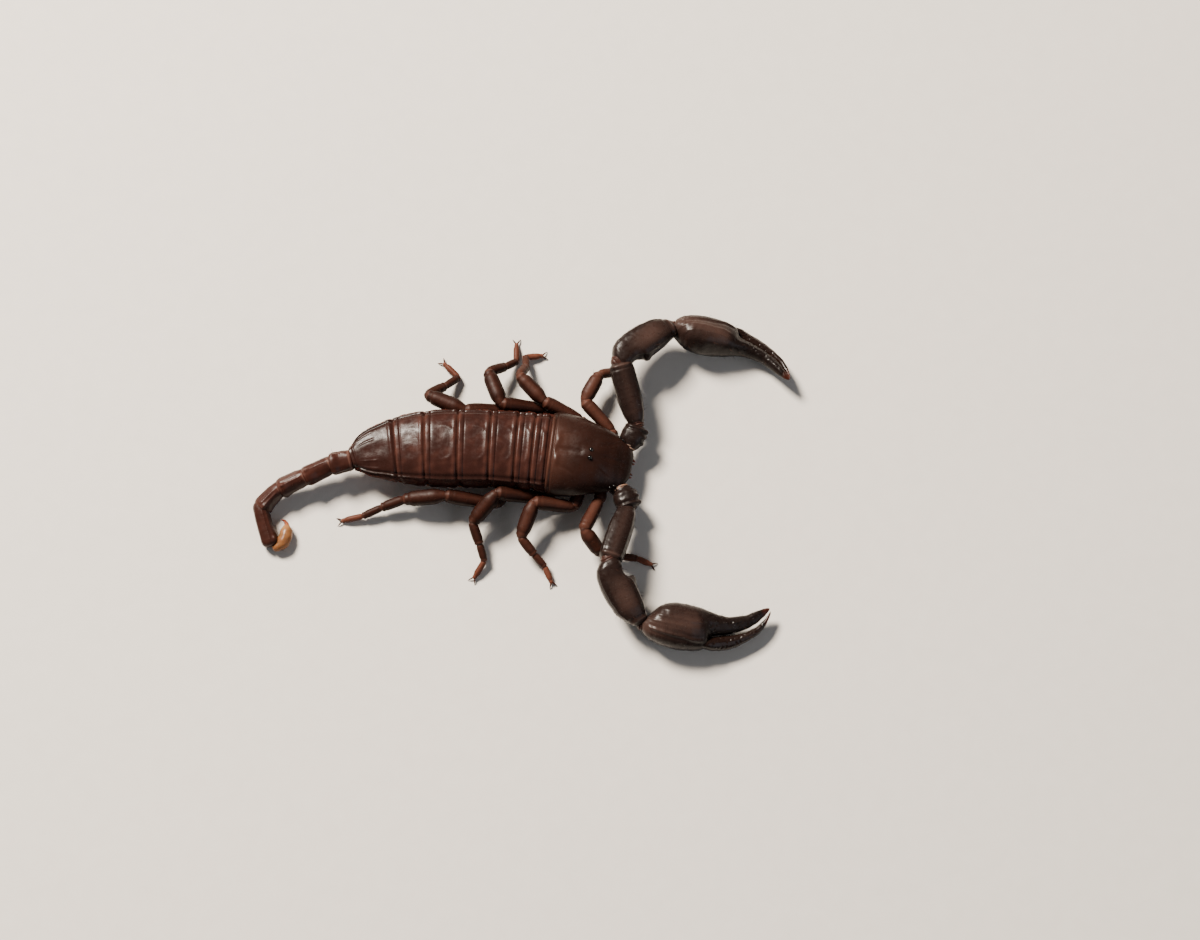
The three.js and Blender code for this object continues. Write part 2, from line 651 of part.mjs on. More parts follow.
place('carapace', 'shield', carapace(0));
place('coxosternum', 'belly', cut(coxosternum(0), shieldRoom, ...ringRooms.slice(0, 3)));
for (let number = 1; number <= 7; number += 1) {
  place(`mesosoma_${number}`, 'rings', mesosomaRing(number, 0));
}
for (let number = 1; number <= 5; number += 1) {
  const before = number === 1 ? ringRooms[6] : tailSegment(number - 1, SEAM);
  place(`metasoma_${number}`, 'tail', cut(tailSegment(number, 0), before, GROUND));
}
place('telson_vesicle', 'telson', cut(horn(VESICLE, 10), tailSegment(5, SEAM), GROUND));
place('telson_sting', 'fingers', cut(horn(STING, 6), horn(VESICLE, 10, SEAM), tailSegment(5, SEAM)));

for (const [side, sign] of [['left', 1], ['right', -1]]) {
  const palp = pedipalp(side);
  const trochanterRoom = palp.trochanter(SEAM);
  place(`eye_median_${side}`, 'eyes', cut(medianEye(sign), shieldRoom));
  place(`chelicera_${side}`, 'belly', cut(chelicera(sign, 0), shieldRoom, undersideRoom));
  place(`pectine_${side}`, 'belly', cut(pectine(sign), undersideRoom, ...ringRooms.slice(0, 4)));
  const shoulder = cut(palp.trochanter(0), shieldRoom, undersideRoom, ...jawRooms);
  place(`pedipalp_${side}_trochanter`, 'palps', shoulder);
  place(`pedipalp_${side}_femur`, 'palps', cut(palp.femur(0), trochanterRoom));
  place(`pedipalp_${side}_patella`, 'palps', cut(palp.patella(0), palp.femur(SEAM)));
  place(`pedipalp_${side}_manus`, 'palps', cut(palp.manus(0), palp.patella(SEAM)));
  place(`pedipalp_${side}_finger`, 'fingers', cut(palp.finger(0), palp.manus(SEAM)));
  for (let pair = 1; pair <= 4; pair += 1) {
    const leg = legSolids(side, pair);
    const trunkRooms = [shieldRoom, undersideRoom, trochanterRoom, ...ringRooms.slice(0, 5)];
    const patella = cut(leg.patella(0), leg.femur(SEAM), ringRooms[3], ringRooms[4]);
    place(`leg_${side}_${pair}_femur`, 'legs', cut(leg.femur(0), ...trunkRooms));
    place(`leg_${side}_${pair}_patella`, 'legs', patella);
    place(`leg_${side}_${pair}_foot`, 'feet', cut(leg.foot(), leg.patella(SEAM)));
  }
}

export default scorpion;
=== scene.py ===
# A small wood scorpion at rest, life size: the looks of the still museum model.
# Places are in millimetres from the waist, the joint behind the carapace, as in the part's
# own source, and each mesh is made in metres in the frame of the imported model.
import math
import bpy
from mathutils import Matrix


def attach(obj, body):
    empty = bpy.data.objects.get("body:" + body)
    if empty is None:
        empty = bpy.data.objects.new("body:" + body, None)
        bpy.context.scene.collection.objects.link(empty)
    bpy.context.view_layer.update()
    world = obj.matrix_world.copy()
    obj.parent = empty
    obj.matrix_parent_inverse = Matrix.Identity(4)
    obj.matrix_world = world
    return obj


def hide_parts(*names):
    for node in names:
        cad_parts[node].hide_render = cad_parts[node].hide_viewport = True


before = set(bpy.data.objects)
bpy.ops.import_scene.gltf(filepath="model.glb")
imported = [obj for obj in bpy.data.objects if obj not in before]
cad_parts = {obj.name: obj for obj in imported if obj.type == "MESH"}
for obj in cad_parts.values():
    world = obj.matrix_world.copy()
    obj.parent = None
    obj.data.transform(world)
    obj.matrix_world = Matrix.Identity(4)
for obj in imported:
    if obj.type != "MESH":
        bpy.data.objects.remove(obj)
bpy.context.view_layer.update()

from types import SimpleNamespace

import bpy
import numpy as np

# ---------------- camera
# The animal is seen from above, 15 degrees off the vertical towards its right side, from
# 167 mm away, as through a close-up lens.
MM = 0.001
WAIST = np.array([1.31, 1.3, 0.0])
VIEW_MIDDLE = np.array([2.5, -0.466, 0.0])
VIEW_DISTANCE = 167.0
VIEW_TILT = math.radians(15)


def shown(name, data):
    """A new object, linked into the scene."""
    thing = bpy.data.objects.new(name, data)
    bpy.context.scene.collection.objects.link(thing)
    return thing


lens = bpy.data.cameras.new("close_up_lens")
lens.lens = 100
lens.sensor_width = 36
lens.clip_start = 0.01
lens.clip_end = 10
camera = shown("camera", lens)
towards_camera = np.array([0, -math.sin(VIEW_TILT), math.cos(VIEW_TILT)])
camera.location = (WAIST + VIEW_MIDDLE + VIEW_DISTANCE * towards_camera) * MM
camera.rotation_euler = (VIEW_TILT, 0, 0)
bpy.context.scene.camera = camera

# ---------------- carapace
# The shield over the head end: one hard plate of cuticle, domed, with a furrow along its
# middle, a furrow before its rear rim, and a low knob that carries the two main eyes.
SPINE_CREST = (-5.0, 0.3)  # the trunk bows furthest to the left here
SPINE_HEAD_RADIUS = 41.7
SPINE_TAIL_CUBE = 210
SHIELD_RIM = 0.13
# Rows of [x, half width, top, widest level].
CARAPACE = [
    [4.02, 0.6, 1.42, 1.29], [3.88, 0.92, 1.56, 1.3], [3.55, 1.22, 1.8, 1.3],
    [3.0, 1.48, 2.12, 1.3], [2.1, 1.78, 2.42, 1.33], [1.0, 2.06, 2.52, 1.36],
    [0.3, 2.12, 2.5, 1.4], [0.0, 2.02, 2.42, 1.42],
]
EYE_X = 2.03
WAX_GRAIN = 0.16  # size of the faint unevenness of the wax on all cuticle
WAX_RELIEF = 0.004
LIGHT_DEPTH = 0.25  # how deep light sinks in


def linear(colour):
    """An sRGB hex colour as linear red, green, blue and alpha."""
    parts = [int(colour[i:i + 2], 16) / 255 for i in (0, 2, 4)]
    return [p / 12.92 if p <= 0.04045 else ((p + 0.055) / 1.055) ** 2.4 for p in parts] + [1]


def add(tree, kind, links=None, **settings):
    """Adds a node with its settings, and links or sets its inputs, a node by its first
    output."""
    node = tree.nodes.new(kind)
    for name, value in settings.items():
        setattr(node, name, value)
    for socket, value in (links or {}).items():
        if isinstance(value, bpy.types.Node):
            value = value.outputs[0]
        if isinstance(value, bpy.types.NodeSocket):
            tree.links.new(value, node.inputs[socket])
        else:
            node.inputs[socket].default_value = value
    return node


def cuticle(name, base, deep, pale, roughness, grain, relief, tip=None, glow=0.0, blotch=1.1,
            shine=0.13):
    """Cuticle: mottled in blotches, with pits of the size grain and the depth relief, in mm,
    and waxy. The attribute tone turns it pale towards 1, deep towards -1, and to its tips'
    colour towards -2. Glow is the share of light that sinks in, and shine what its wax gives
    back, where bare glass gives 0.5."""
    material = bpy.data.materials.new(name)
    material.use_nodes = True
    tree = material.node_tree
    tree.nodes.clear()
    place = add(tree, "ShaderNodeTexCoord").outputs["Object"]
    tone = add(tree, "ShaderNodeAttribute", attribute_name="tone").outputs["Fac"]
    mottle = add(tree, "ShaderNodeTexNoise",
                 {"Vector": place, "Scale": 1 / (blotch * MM), "Detail": 4.0})
    colour = linear(base)
    for value, low, high, most, shade in (
            (mottle, 0.36, 0.68, 0.5, deep), (tone, 0.0, 1.0, 1.0, pale),
            (tone, 0.0, -1.0, 1.0, deep), (tone, -1.0, -2.0, 1.0, tip or deep)):
        part = add(tree, "ShaderNodeMapRange",
                   {"Value": value, "From Min": low, "From Max": high, "To Max": most})
        colour = add(tree, "ShaderNodeMix", {0: part, 6: colour, 7: linear(shade)},
                     data_type="RGBA").outputs[2]
    fine = add(tree, "ShaderNodeTexNoise",
               {"Vector": place, "Scale": 1 / (WAX_GRAIN * MM), "Detail": 3.0})
    rough = add(tree, "ShaderNodeMapRange",
                {"Value": fine, "From Min": 0.3, "From Max": 0.7, "To Min": roughness - 0.07,
                 "To Max": roughness + 0.09})
    pits = add(tree, "ShaderNodeTexVoronoi", {"Vector": place, "Scale": 1 / (grain * MM)},
               feature="SMOOTH_F1")
    pitted = add(tree, "ShaderNodeBump", {"Height": pits, "Distance": relief * MM})
    waved = add(tree, "ShaderNodeBump",
                {"Height": fine, "Distance": WAX_RELIEF * MM, "Normal": pitted})
    shader = add(tree, "ShaderNodeBsdfPrincipled",
                 {"Base Color": colour, "Roughness": rough, "Normal": waved, "IOR": 1.5,
                  "Specular IOR Level": shine, "Subsurface Weight": glow,
                  "Subsurface Scale": LIGHT_DEPTH * MM, "Subsurface Radius": (1.0, 0.35, 0.2)})
    add(tree, "ShaderNodeOutputMaterial", {"Surface": shader})
    return material


def smooth(low, high, value):
    """0 at low, 1 at high, with soft ends between."""
    t = np.clip((value - low) / (high - low), 0, 1)
    return t * t * (3 - 2 * t)


def ridge(value, middle, width):
    """A soft bump, 1 high, about twice its width across."""
    return np.exp(-((value - middle) / width) ** 2)


def through(table, x):
    """Rows of [x, values...] joined by smooth curves with no overshoot, read at x."""
    rows = np.array(sorted(map(tuple, table)), float)
    knots, values = rows[:, 0], rows[:, 1:]
    gaps = np.diff(knots)[:, None]
    steep = np.diff(values, axis=0) / gaps
    slopes = np.zeros_like(values)
    slopes[0], slopes[-1] = steep[0], steep[-1]
    before, after = 2 * gaps[1:] + gaps[:-1], gaps[1:] + 2 * gaps[:-1]
    same = steep[:-1] * steep[1:] > 0
    safe = np.where(same, steep[:-1], 1), np.where(same, steep[1:], 1)
    middle = (before + after) / (before / safe[0] + after / safe[1])
    slopes[1:-1] = np.where(same, middle, 0)
    i = np.clip(np.searchsorted(knots, x) - 1, 0, len(knots) - 2)
    t = ((x - knots[i]) / gaps[i, 0])[:, None]
    left = values[i] + t * gaps[i] * slopes[i]
    right = values[i + 1] - (1 - t) * gaps[i] * slopes[i + 1]
    weight = t * t * (3 - 2 * t)
    return left * (1 - weight) + right * weight


def beside_spine(x, side, height):
    """A point beside the trunk's middle line, at its place in the frame."""
    d = x - SPINE_CREST[0]
    ahead_of_crest = d > 0
    y = SPINE_CREST[1] + np.where(ahead_of_crest, -d * d / (2 * SPINE_HEAD_RADIUS),
                                  d ** 3 / SPINE_TAIL_CUBE)
    turn = np.arctan(np.where(ahead_of_crest, -d / SPINE_HEAD_RADIUS,
                              3 * d * d / SPINE_TAIL_CUBE))
    parts = np.broadcast_arrays(x - np.sin(turn) * side, y + np.cos(turn) * side, height)
    return np.stack(parts, -1) + WAIST


def around(sides):
    """Even angles round a ring of so many points."""
    return np.linspace(0, math.tau, sides, endpoint=False)[None]


def rounded(angle, inner, outer, above, below, square):
    """How far across and up a rounded outline reaches at an angle. Square is 2 for an
    ellipse, and more for fuller corners."""
    c, s = np.cos(angle), np.sin(angle)
    across = np.sign(c) * np.abs(c) ** (2 / square) * np.where(c > 0, inner, outer)
    up = np.sign(s) * np.abs(s) ** (2 / square) * np.where(s > 0, above, below)
    return across, up


def outward(grid, closed=True):
    """The unit directions square to the surface of a grid of points, away from its middle."""
    along = np.gradient(grid, axis=0)
    over = np.roll(grid, -1, 1) - np.roll(grid, 1, 1) if closed else np.gradient(grid, axis=1)
    normal = np.cross(along, over)
    normal /= np.linalg.norm(normal, axis=2, keepdims=True) + 1e-9
    return normal * np.sign(np.sum(normal * (grid - grid.mean(1, keepdims=True))))


def raised(grid, offset, closed=True):
    """A grid of points moved outwards, square to its own surface, by an offset in mm."""
    return grid + outward(grid, closed) * np.broadcast_to(offset, grid.shape[:2])[..., None]


def uneven(points, size, seed=0.0):
    """Soft lumps of about the given size in mm, from -1 to 1, the same on every run."""
    p = points * (math.tau / size)
    total = 0
    for k, way in enumerate(([1, 0.3, -0.5], [-0.4, 1.1, 0.6], [0.7, -0.6, 0.9])):
        flow = p @ np.array(way)
        wander = p[..., (k + 1) % 3] * 0.61 + seed + k
        total = total + np.sin(flow + 1.4 * np.sin(wander))
    return total / 3


def mark(mesh, label, values):
    """Gives each point of a mesh its number, or its direction, under a label."""
    values = np.asarray(values, np.float32)
    kind, field = ("FLOAT_VECTOR", "vector") if values.ndim > 1 else ("FLOAT", "value")
    data = mesh.attributes.new(label, kind, "POINT").data
    data.foreach_set(field, np.broadcast_to(values, (len(data), *values.shape[1:])).ravel())


def solid(name, points, faces, finish, tone):
    """A closed smooth mesh from points in mm, with its faces turned outwards. What would
    reach below the floor is pressed flat on it."""
    points[:, 2] = np.maximum(points[:, 2], 0)
    a, b, c, d = (points[faces[:, i]] for i in range(4))
    if np.sum(a * np.cross(b, c)) + np.sum(a * np.cross(c, d)) < 0:
        faces = faces[:, ::-1]
    corners = [face[:3] if face[2] == face[3] else face[1:] if face[0] == face[1] else face
               for face in faces.tolist()]
    mesh = bpy.data.meshes.new(name)
    mesh.from_pydata((points * MM).tolist(), [], corners)
    mesh.shade_smooth()
    mark(mesh, "tone", tone)
    mesh.materials.append(finish)
    return shown(name, mesh)


def grid_faces(rows, columns, closed):
    """The four-sided faces of a grid of points."""
    row, column = np.meshgrid(np.arange(rows - 1), np.arange(columns - (not closed)),
                              indexing="ij")
    a, b = row * columns + column, row * columns + (column + 1) % columns
    return np.stack([a, b, b + columns, a + columns], -1).reshape(-1, 4)


def sleeve(name, rings, finish, tone=0.0, ends=(0.05, 0.05)):
    """A closed skin through rings of points, rounded over at both ends."""
    tone = np.broadcast_to(tone, rings.shape[:2])
    for depth in ends[::-1]:  # rounds the last ring over, then turns the sleeve end for end
        edge = rings[-1]
        middle = edge.mean(0)
        way = middle - rings[-2].mean(0)
        way /= np.linalg.norm(way)
        lids = [middle + way * depth * math.sin(turn) + (edge - middle) * math.cos(turn)
                for turn in (0.5, 0.95, 1.3)]
        rings = np.concatenate([rings, lids])[::-1]
        tone = np.concatenate([tone, np.repeat(tone[-1:], 3, 0)])[::-1]
    rows, columns = rings.shape[:2]
    count = rows * columns
    points = np.concatenate([rings.reshape(-1, 3), [rings[0].mean(0)], [rings[-1].mean(0)]])
    i = np.arange(columns)
    after = (i + 1) % columns
    first, last = i * 0 + count, i * 0 + count + 1
    far = count - columns
    faces = np.concatenate([grid_faces(rows, columns, True),
                            np.stack([after, i, first, first], 1),
                            np.stack([i + far, after + far, last, last], 1)])
    tones = np.concatenate([tone.ravel(), [tone[0].mean(), tone[-1].mean()]])
    return solid(name, points, faces, finish, tones)


def fixed(piece, slot, *nodes):
    """Holds a piece to the still body, and hides the solids that it stands for. The slot is not
    used.
    """
    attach(piece, "root")
    if nodes:
        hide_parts(*nodes)
    return piece


# Thick sclerotised cuticle: nearly black brown, satin, and darkest to the front and sides.
shield_cuticle = cuticle("dark_shield_cuticle", "25140f", "150b08", "482c23", roughness=0.33,
                         grain=0.06, relief=0.003, shine=0.12)
x = np.concatenate([np.linspace(-0.02, 0.5, 27), np.linspace(0.55, 3.6, 84),
                    np.linspace(3.63, 4.02, 18)])[:, None]
angle = around(144)
half, top, level = through(CARAPACE, x[:, 0]).T[..., None]
side, height = rounded(angle, half, half, top - level, SHIELD_RIM, 2.3)
shell = beside_spine(x, side, level + height)
on_top = smooth(0.15, 0.45, np.sin(angle))
aside = np.abs(side)
share = aside / half
rear_furrow = aside - (0.78 + 0.36 * (x - 0.45))
front_furrow = aside - (0.42 + 0.5 * (x - 2.3))
carve = (
    # The rear rim and the furrow before it, with a polished lobe on either side.
    0.035 * ridge(x, 0.05, 0.06) - 0.05 * ridge(x, 0.18, 0.05)
    + 0.055 * ridge(x, 0.4, 0.14) * ridge(aside, 0.5, 0.24)
    # The middle furrow, the knob of the eyes and the notch before it.
    - 0.045 * ridge(side, 0, 0.045) * smooth(0.15, 0.4, x) * smooth(1.75, 1.5, x)
    - 0.04 * ridge(side, 0, 0.2) * smooth(0.2, 0.5, x) * smooth(1.3, 0.8, x)
    + 0.13 * ridge(x, EYE_X - 0.02, 0.34) * ridge(side, 0, 0.27)
    - 0.05 * ridge(side, 0, 0.05) * ridge(x, EYE_X, 0.3)
    - 0.03 * ridge(side, 0, 0.07) * smooth(2.4, 2.8, x) * smooth(4.0, 3.6, x)
    # The slanting furrows at the rear sides and beside the front lobes.
    - 0.025 * ridge(rear_furrow, 0, 0.08) * smooth(0.35, 0.6, x) * smooth(1.7, 1.1, x)
    - 0.02 * ridge(front_furrow, 0, 0.09) * smooth(2.2, 2.6, x) * smooth(3.5, 3.1, x)
    + 0.004 * uneven(shell, 0.9))
lip = 0.03 * ridge(np.sin(angle), 0.12, 0.12)
# Painted highlights: the rear rim and the two rear lobes are lighter. The shield is darker to the
# front and the sides.
shade = (0.3 * ridge(x, 0.03, 0.06) - 0.3 * smooth(1.4, 3.2, x) - 0.4 * smooth(0.8, 1.0, share)
         + 0.4 * smooth(1.5, 0.2, x) * ridge(share, 0.2, 0.5))
carapace = fixed(sleeve("carapace_shield", raised(shell, carve * on_top + lip), shield_cuticle,
                        shade, ends=(0.03, 0.05)), "shield", "carapace")

# Fine granules, coarser towards the front and the flanks.
GRANULES_PER_MM2 = 300
GRANULE_SMALLEST = 0.007
GRANULE_LARGEST = 0.02


def sized_tree(name, **sizes):
    """A new Geometry Nodes tree that takes and gives a mesh, with named inputs for sizes."""
    tree = bpy.data.node_groups.new(name, "GeometryNodeTree")
    tree.interface.new_socket("Geometry", in_out="OUTPUT", socket_type="NodeSocketGeometry")
    tree.interface.new_socket("Geometry", in_out="INPUT", socket_type="NodeSocketGeometry")
    for label, kind in sizes.items():
        tree.interface.new_socket(label, in_out="INPUT", socket_type=f"NodeSocket{kind}")
    return tree, add(tree, "NodeGroupInput").outputs


def finished_tree(tree, shapes, finish):
    """Ends a Geometry Nodes tree: the instances made real, smooth, and of one material."""
    real = add(tree, "GeometryNodeRealizeInstances", {0: shapes})
    soft = add(tree, "GeometryNodeSetShadeSmooth", {0: real})
    made = add(tree, "GeometryNodeSetMaterial", {0: soft, "Material": finish})
    add(tree, "NodeGroupOutput", {0: made})
    return tree


def grown(name, tree, bed, **sizes):
    """The plain mesh that a tree makes from a bed, an object whose mesh it reads, with
    nothing left below the floor."""
    modifier = bed.modifiers.new(name, "NODES")
    modifier.node_group = tree
    for item in tree.interface.items_tree:
        if item.in_out == "INPUT" and item.name in sizes:
            modifier[item.identifier] = sizes[item.name]
    bed_now = bed.evaluated_get(bpy.context.evaluated_depsgraph_get())
    mesh = bpy.data.meshes.new_from_object(bed_now)
    bed.modifiers.remove(modifier)
    places = np.empty(len(mesh.vertices) * 3, np.float32)
    mesh.vertices.foreach_get("co", places)
    places[2::3] = np.maximum(places[2::3], 0)
    mesh.vertices.foreach_set("co", places)
    return shown(name, mesh)


def granule_tree(finish):
    """Low round grains, scattered over a skin where its attribute grain_share is high."""
    tree, sizes = sized_tree("granules", Density="Float", Smallest="Float", Largest="Float",
                             Seed="Int")
    where = add(tree, "GeometryNodeInputNamedAttribute", {"Name": "grain_share"},
                data_type="FLOAT")
    dense = add(tree, "ShaderNodeMath", {0: where, 1: sizes["Density"]}, operation="MULTIPLY")
    spots = add(tree, "GeometryNodeDistributePointsOnFaces",
                {"Mesh": sizes["Geometry"], "Density": dense, "Seed": sizes["Seed"]})
    grain = add(tree, "GeometryNodeMeshIcoSphere", {"Radius": 1.0, "Subdivisions": 1})
    size = add(tree, "FunctionNodeRandomValue",
               {2: sizes["Smallest"], 3: sizes["Largest"], "Seed": sizes["Seed"]},
               data_type="FLOAT").outputs[1]
    flat = add(tree, "ShaderNodeCombineXYZ", {0: 1.0, 1: 1.0, 2: 0.75})
    scale = add(tree, "ShaderNodeVectorMath", {0: flat, "Scale": size}, operation="SCALE")
    grains = add(tree, "GeometryNodeInstanceOnPoints",
                 {"Points": spots, "Instance": grain, "Rotation": spots.outputs["Rotation"],
                  "Scale": scale})
    return finished_tree(tree, grains, finish)


def grained(name, skin, share, finish, density, seed):
    """The granules of a skin. Share gives how thickly they stand at each of its points,
    from the points' places in mm."""
    places = np.empty(len(skin.data.vertices) * 3)
    skin.data.vertices.foreach_get("co", places)
    mark(skin.data, "grain_share", share(places.reshape(-1, 3) / MM))
    return grown(name, granule_tree(finish), skin, Density=density / MM ** 2,
                 Smallest=GRANULE_SMALLEST * MM, Largest=GRANULE_LARGEST * MM, Seed=seed)


def on_flanks(places):
    """More granules to the front and the sides, none on the eyes or the underside."""
    x, y, height = (places - WAIST).T
    aside = np.abs(y - 0.3 + (x + 5) ** 2 / 2 / SPINE_HEAD_RADIUS)
    bare = np.maximum(smooth(0.6, 0.4, np.hypot(x - EYE_X, aside)), smooth(1.5, 1.3, height))
    return (0.12 + smooth(1.2, 3.0, x) + 0.9 * smooth(0.9, 1.7, aside)) / 2 * (1 - bare)


fixed(grained("carapace_granules", carapace, on_flanks, shield_cuticle, GRANULES_PER_MM2,
              seed=3), "shield", "carapace")

# ---------------- median eyes
# The two main eyes, clear black lenses set back to back on the knob of the carapace, each
# held in a low raised ring of cuticle.
EYE_SPREAD = 0.2
EYE_HEIGHT = 2.47
EYE_RADII = (0.115, 0.12, 0.13)
# The small side eyes sit at the front corners: how far ahead, and how far to the side.
LATERAL_EYES = [[3.42, 1.2], [3.25, 1.31]]
LATERAL_EYE_HEIGHT = 1.66
LATERAL_EYE_RADIUS = 0.06


def ball(name, middle, radii, finish, sides=32):
    """A closed ball with its own reach along x, y and z, in mm."""
    turn = np.linspace(-math.pi / 2, math.pi / 2, sides // 2 + 1)[1:-1, None]
    ring = around(sides)
    parts = np.broadcast_arrays(np.sin(turn) * radii[0], np.cos(turn) * np.cos(ring) * radii[1],
                                np.cos(turn) * np.sin(ring) * radii[2])
    return sleeve(name, np.stack(parts, -1) + middle, finish, ends=(1e-3, 1e-3))


# The cuticle of the lenses is clear over black pigment, so it looks wet and throws one glint.
lens_black = cuticle("black_eye_lens", "070606", "020202", "171212", roughness=0.1, grain=0.5,
                     relief=0.0, shine=0.5)
SIDES = {"left": 1, "right": -1}
for name, sign in SIDES.items():
    middle = beside_spine(EYE_X, sign * EYE_SPREAD, EYE_HEIGHT)
    fixed(ball(f"eye_median_{name}_lens", middle, EYE_RADII, lens_black), "eyes",
          f"eye_median_{name}")
    for number, (x, side) in enumerate(LATERAL_EYES, 1):
        middle = beside_spine(x, sign * side, LATERAL_EYE_HEIGHT)
        fixed(ball(f"eye_lateral_{name}_{number}", middle, [LATERAL_EYE_RADIUS] * 3,
                   lens_black, 16), "eyes")

# ---------------- soft skin of the trunk
# The joint skin that shows between the plates, along both sides and under the carapace:
# one tough, pleated, reddish brown bag from the head to the root of the tail.
RING_JOINTS = [0, -0.72, -1.55, -2.85, -4.45, -6.1, -7.6, -9.88]
PLEATS = 44  # round the whole trunk
# Rows of [x, half width, top, widest level, belly].
TRUNK = [
    [3.6, 0.8, 1.3, 1.1, 0.72], [3.0, 1.2, 1.35, 1.1, 0.62], [2.0, 1.5, 1.5, 1.1, 0.52],
    [1.0, 1.72, 1.7, 1.15, 0.5], [0.3, 1.86, 2.2, 1.3, 0.6], [0.0, 1.98, 2.4, 1.42, 0.7],
    [-1.5, 1.98, 2.48, 1.4, 0.74], [-2.4, 1.96, 2.5, 1.37, 0.6], [-3.0, 1.95, 2.51, 1.35, 0.42],
    [-4.5, 1.97, 2.5, 1.3, 0.3], [-5.5, 1.95, 2.45, 1.28, 0.3], [-6.2, 1.89, 2.38, 1.28, 0.33],
    [-7.0, 1.78, 2.24, 1.29, 0.38], [-7.6, 1.66, 2.12, 1.3, 0.45], [-8.1, 1.5, 2.03, 1.31, 0.53],
    [-8.5, 1.36, 1.96, 1.32, 0.6], [-9.0, 1.18, 1.88, 1.33, 0.7], [-9.5, 0.86, 1.8, 1.34, 0.8],
    [-9.88, 0.6, 1.74, 1.35, 0.88],
]


def trunk_grid(x, angle):
    """Points of the trunk's outline at places along it and angles round it, from the left
    over the back, how far each is to the side, and the half width."""
    half, top, level, low = through(TRUNK, x[:, 0]).T[..., None]
    side, height = rounded(angle, half, half, top - level, level - low, 2.5)
    return beside_spine(x, side, level + height), side, half


# Unhardened cuticle, in fine pleats: dull, a little see-through, red brown in its folds.
joint_skin = cuticle("pleated_joint_skin", "371811", "1f0c08", "5c2f20", roughness=0.5,
                     grain=0.09, relief=0.012, glow=0.15, blotch=0.7)
x = np.linspace(-9.84, 3.6, 300)[:, None]
angle = around(128)
bag, *_ = trunk_grid(x, angle)
on_side = smooth(0.62, 0.2, np.abs(np.sin(angle - 0.1)))
pleats = 0.03 * np.cos(angle * PLEATS + 2.5 * uneven(bag, 1.4)) * on_side
pinch = sum(ridge(x, joint, 0.13) for joint in RING_JOINTS[1:-1])
folds = (-0.1 - 0.06 * pinch + (pleats + 0.09 * on_side) * (1 - 0.7 * pinch)
         + 0.018 * uneven(bag, 0.35) * on_side - 0.09 * smooth(-9.2, -9.8, x))
fixed(sleeve("trunk_joint_skin", raised(bag, folds), joint_skin,
             0.25 * uneven(bag, 0.6) * on_side, ends=(0.05, 0.1)),
      "belly", *[f"mesosoma_{number}" for number in range(1, 8)])

# ---------------- tergites
# The seven back plates: springy curved shells of cuticle, each lapping over the next like
# a tile. Each has a smooth band at the front, low swellings behind it and a polished rim.
PLATE = 0.07  # thickness
LAP_FRONT = 0.12
LAP_REAR = 0.07
LAP_LAST = -0.02  # the last ring stops short of the tail
EDGE_ANGLE = math.radians(29)
ARCHES = [0.6, 0.8, 0.8, 1.0, 1.0, 0.4, 0.0]  # how strongly each plate's arch stands out
# How far the surface stands from the trunk's outline, by the distance behind the joint.
TERGITE_FRONT = [[-0.2, -0.13], [-0.05, -0.1], [0.05, -0.075], [0.13, -0.05], [0.2, 0.012],
                 [0.28, 0.03], [0.4, 0.008], [0.6, 0.0]]
# The same by the distance before the next joint.
TERGITE_REAR = [[-0.1, -0.03], [-0.05, 0.015], [0.02, 0.028], [0.1, 0.026], [0.15, 0.02],
                [0.2, -0.016], [0.27, -0.004], [0.4, 0.0]]


def ring_sheet(number, lap, dense, first, last, columns):
    """A ring of the trunk from a lap before its joint, between two angles: its length, each
    point's place behind the joint and its angle, and what trunk_grid gives."""
    front, rear = RING_JOINTS[number - 1:number + 1]
    length = front - rear
    s = np.linspace(-lap, length + (LAP_REAR if number < 7 else LAP_LAST),
                    int(dense + length * (dense + 2)))[:, None]
    angle = np.linspace(first, last, columns)[None]
    return length, s, angle, *trunk_grid(front - s, angle)


def plate(name, grid, finish, tone):
    """A closed curved plate: an outer sheet of points, and an inner one under it."""
    rows, columns = grid.shape[:2]
    row, column = np.indices((rows, columns))
    to_edge = np.minimum.reduce([row, rows - 1 - row, column, columns - 1 - column])
    depth = PLATE * (0.35 + 0.65 * np.clip(to_edge / 2, 0, 1))
    inner = raised(grid, -depth, closed=False)
    index = row * columns + column
    rim = np.concatenate([index[0], index[1:, -1], index[-1, -2::-1], index[-2:0:-1, 0]])
    after = np.roll(rim, -1)
    under = rows * columns
    outer_faces = grid_faces(rows, columns, False)
    faces = np.concatenate([outer_faces, outer_faces[:, ::-1] + under,
                            np.stack([after, rim, rim + under, after + under], 1)])
    tones = np.broadcast_to(tone, (rows, columns)).ravel()
    return solid(name, np.concatenate([grid, inner]).reshape(-1, 3), faces, finish,
                 np.concatenate([tones, tones]))


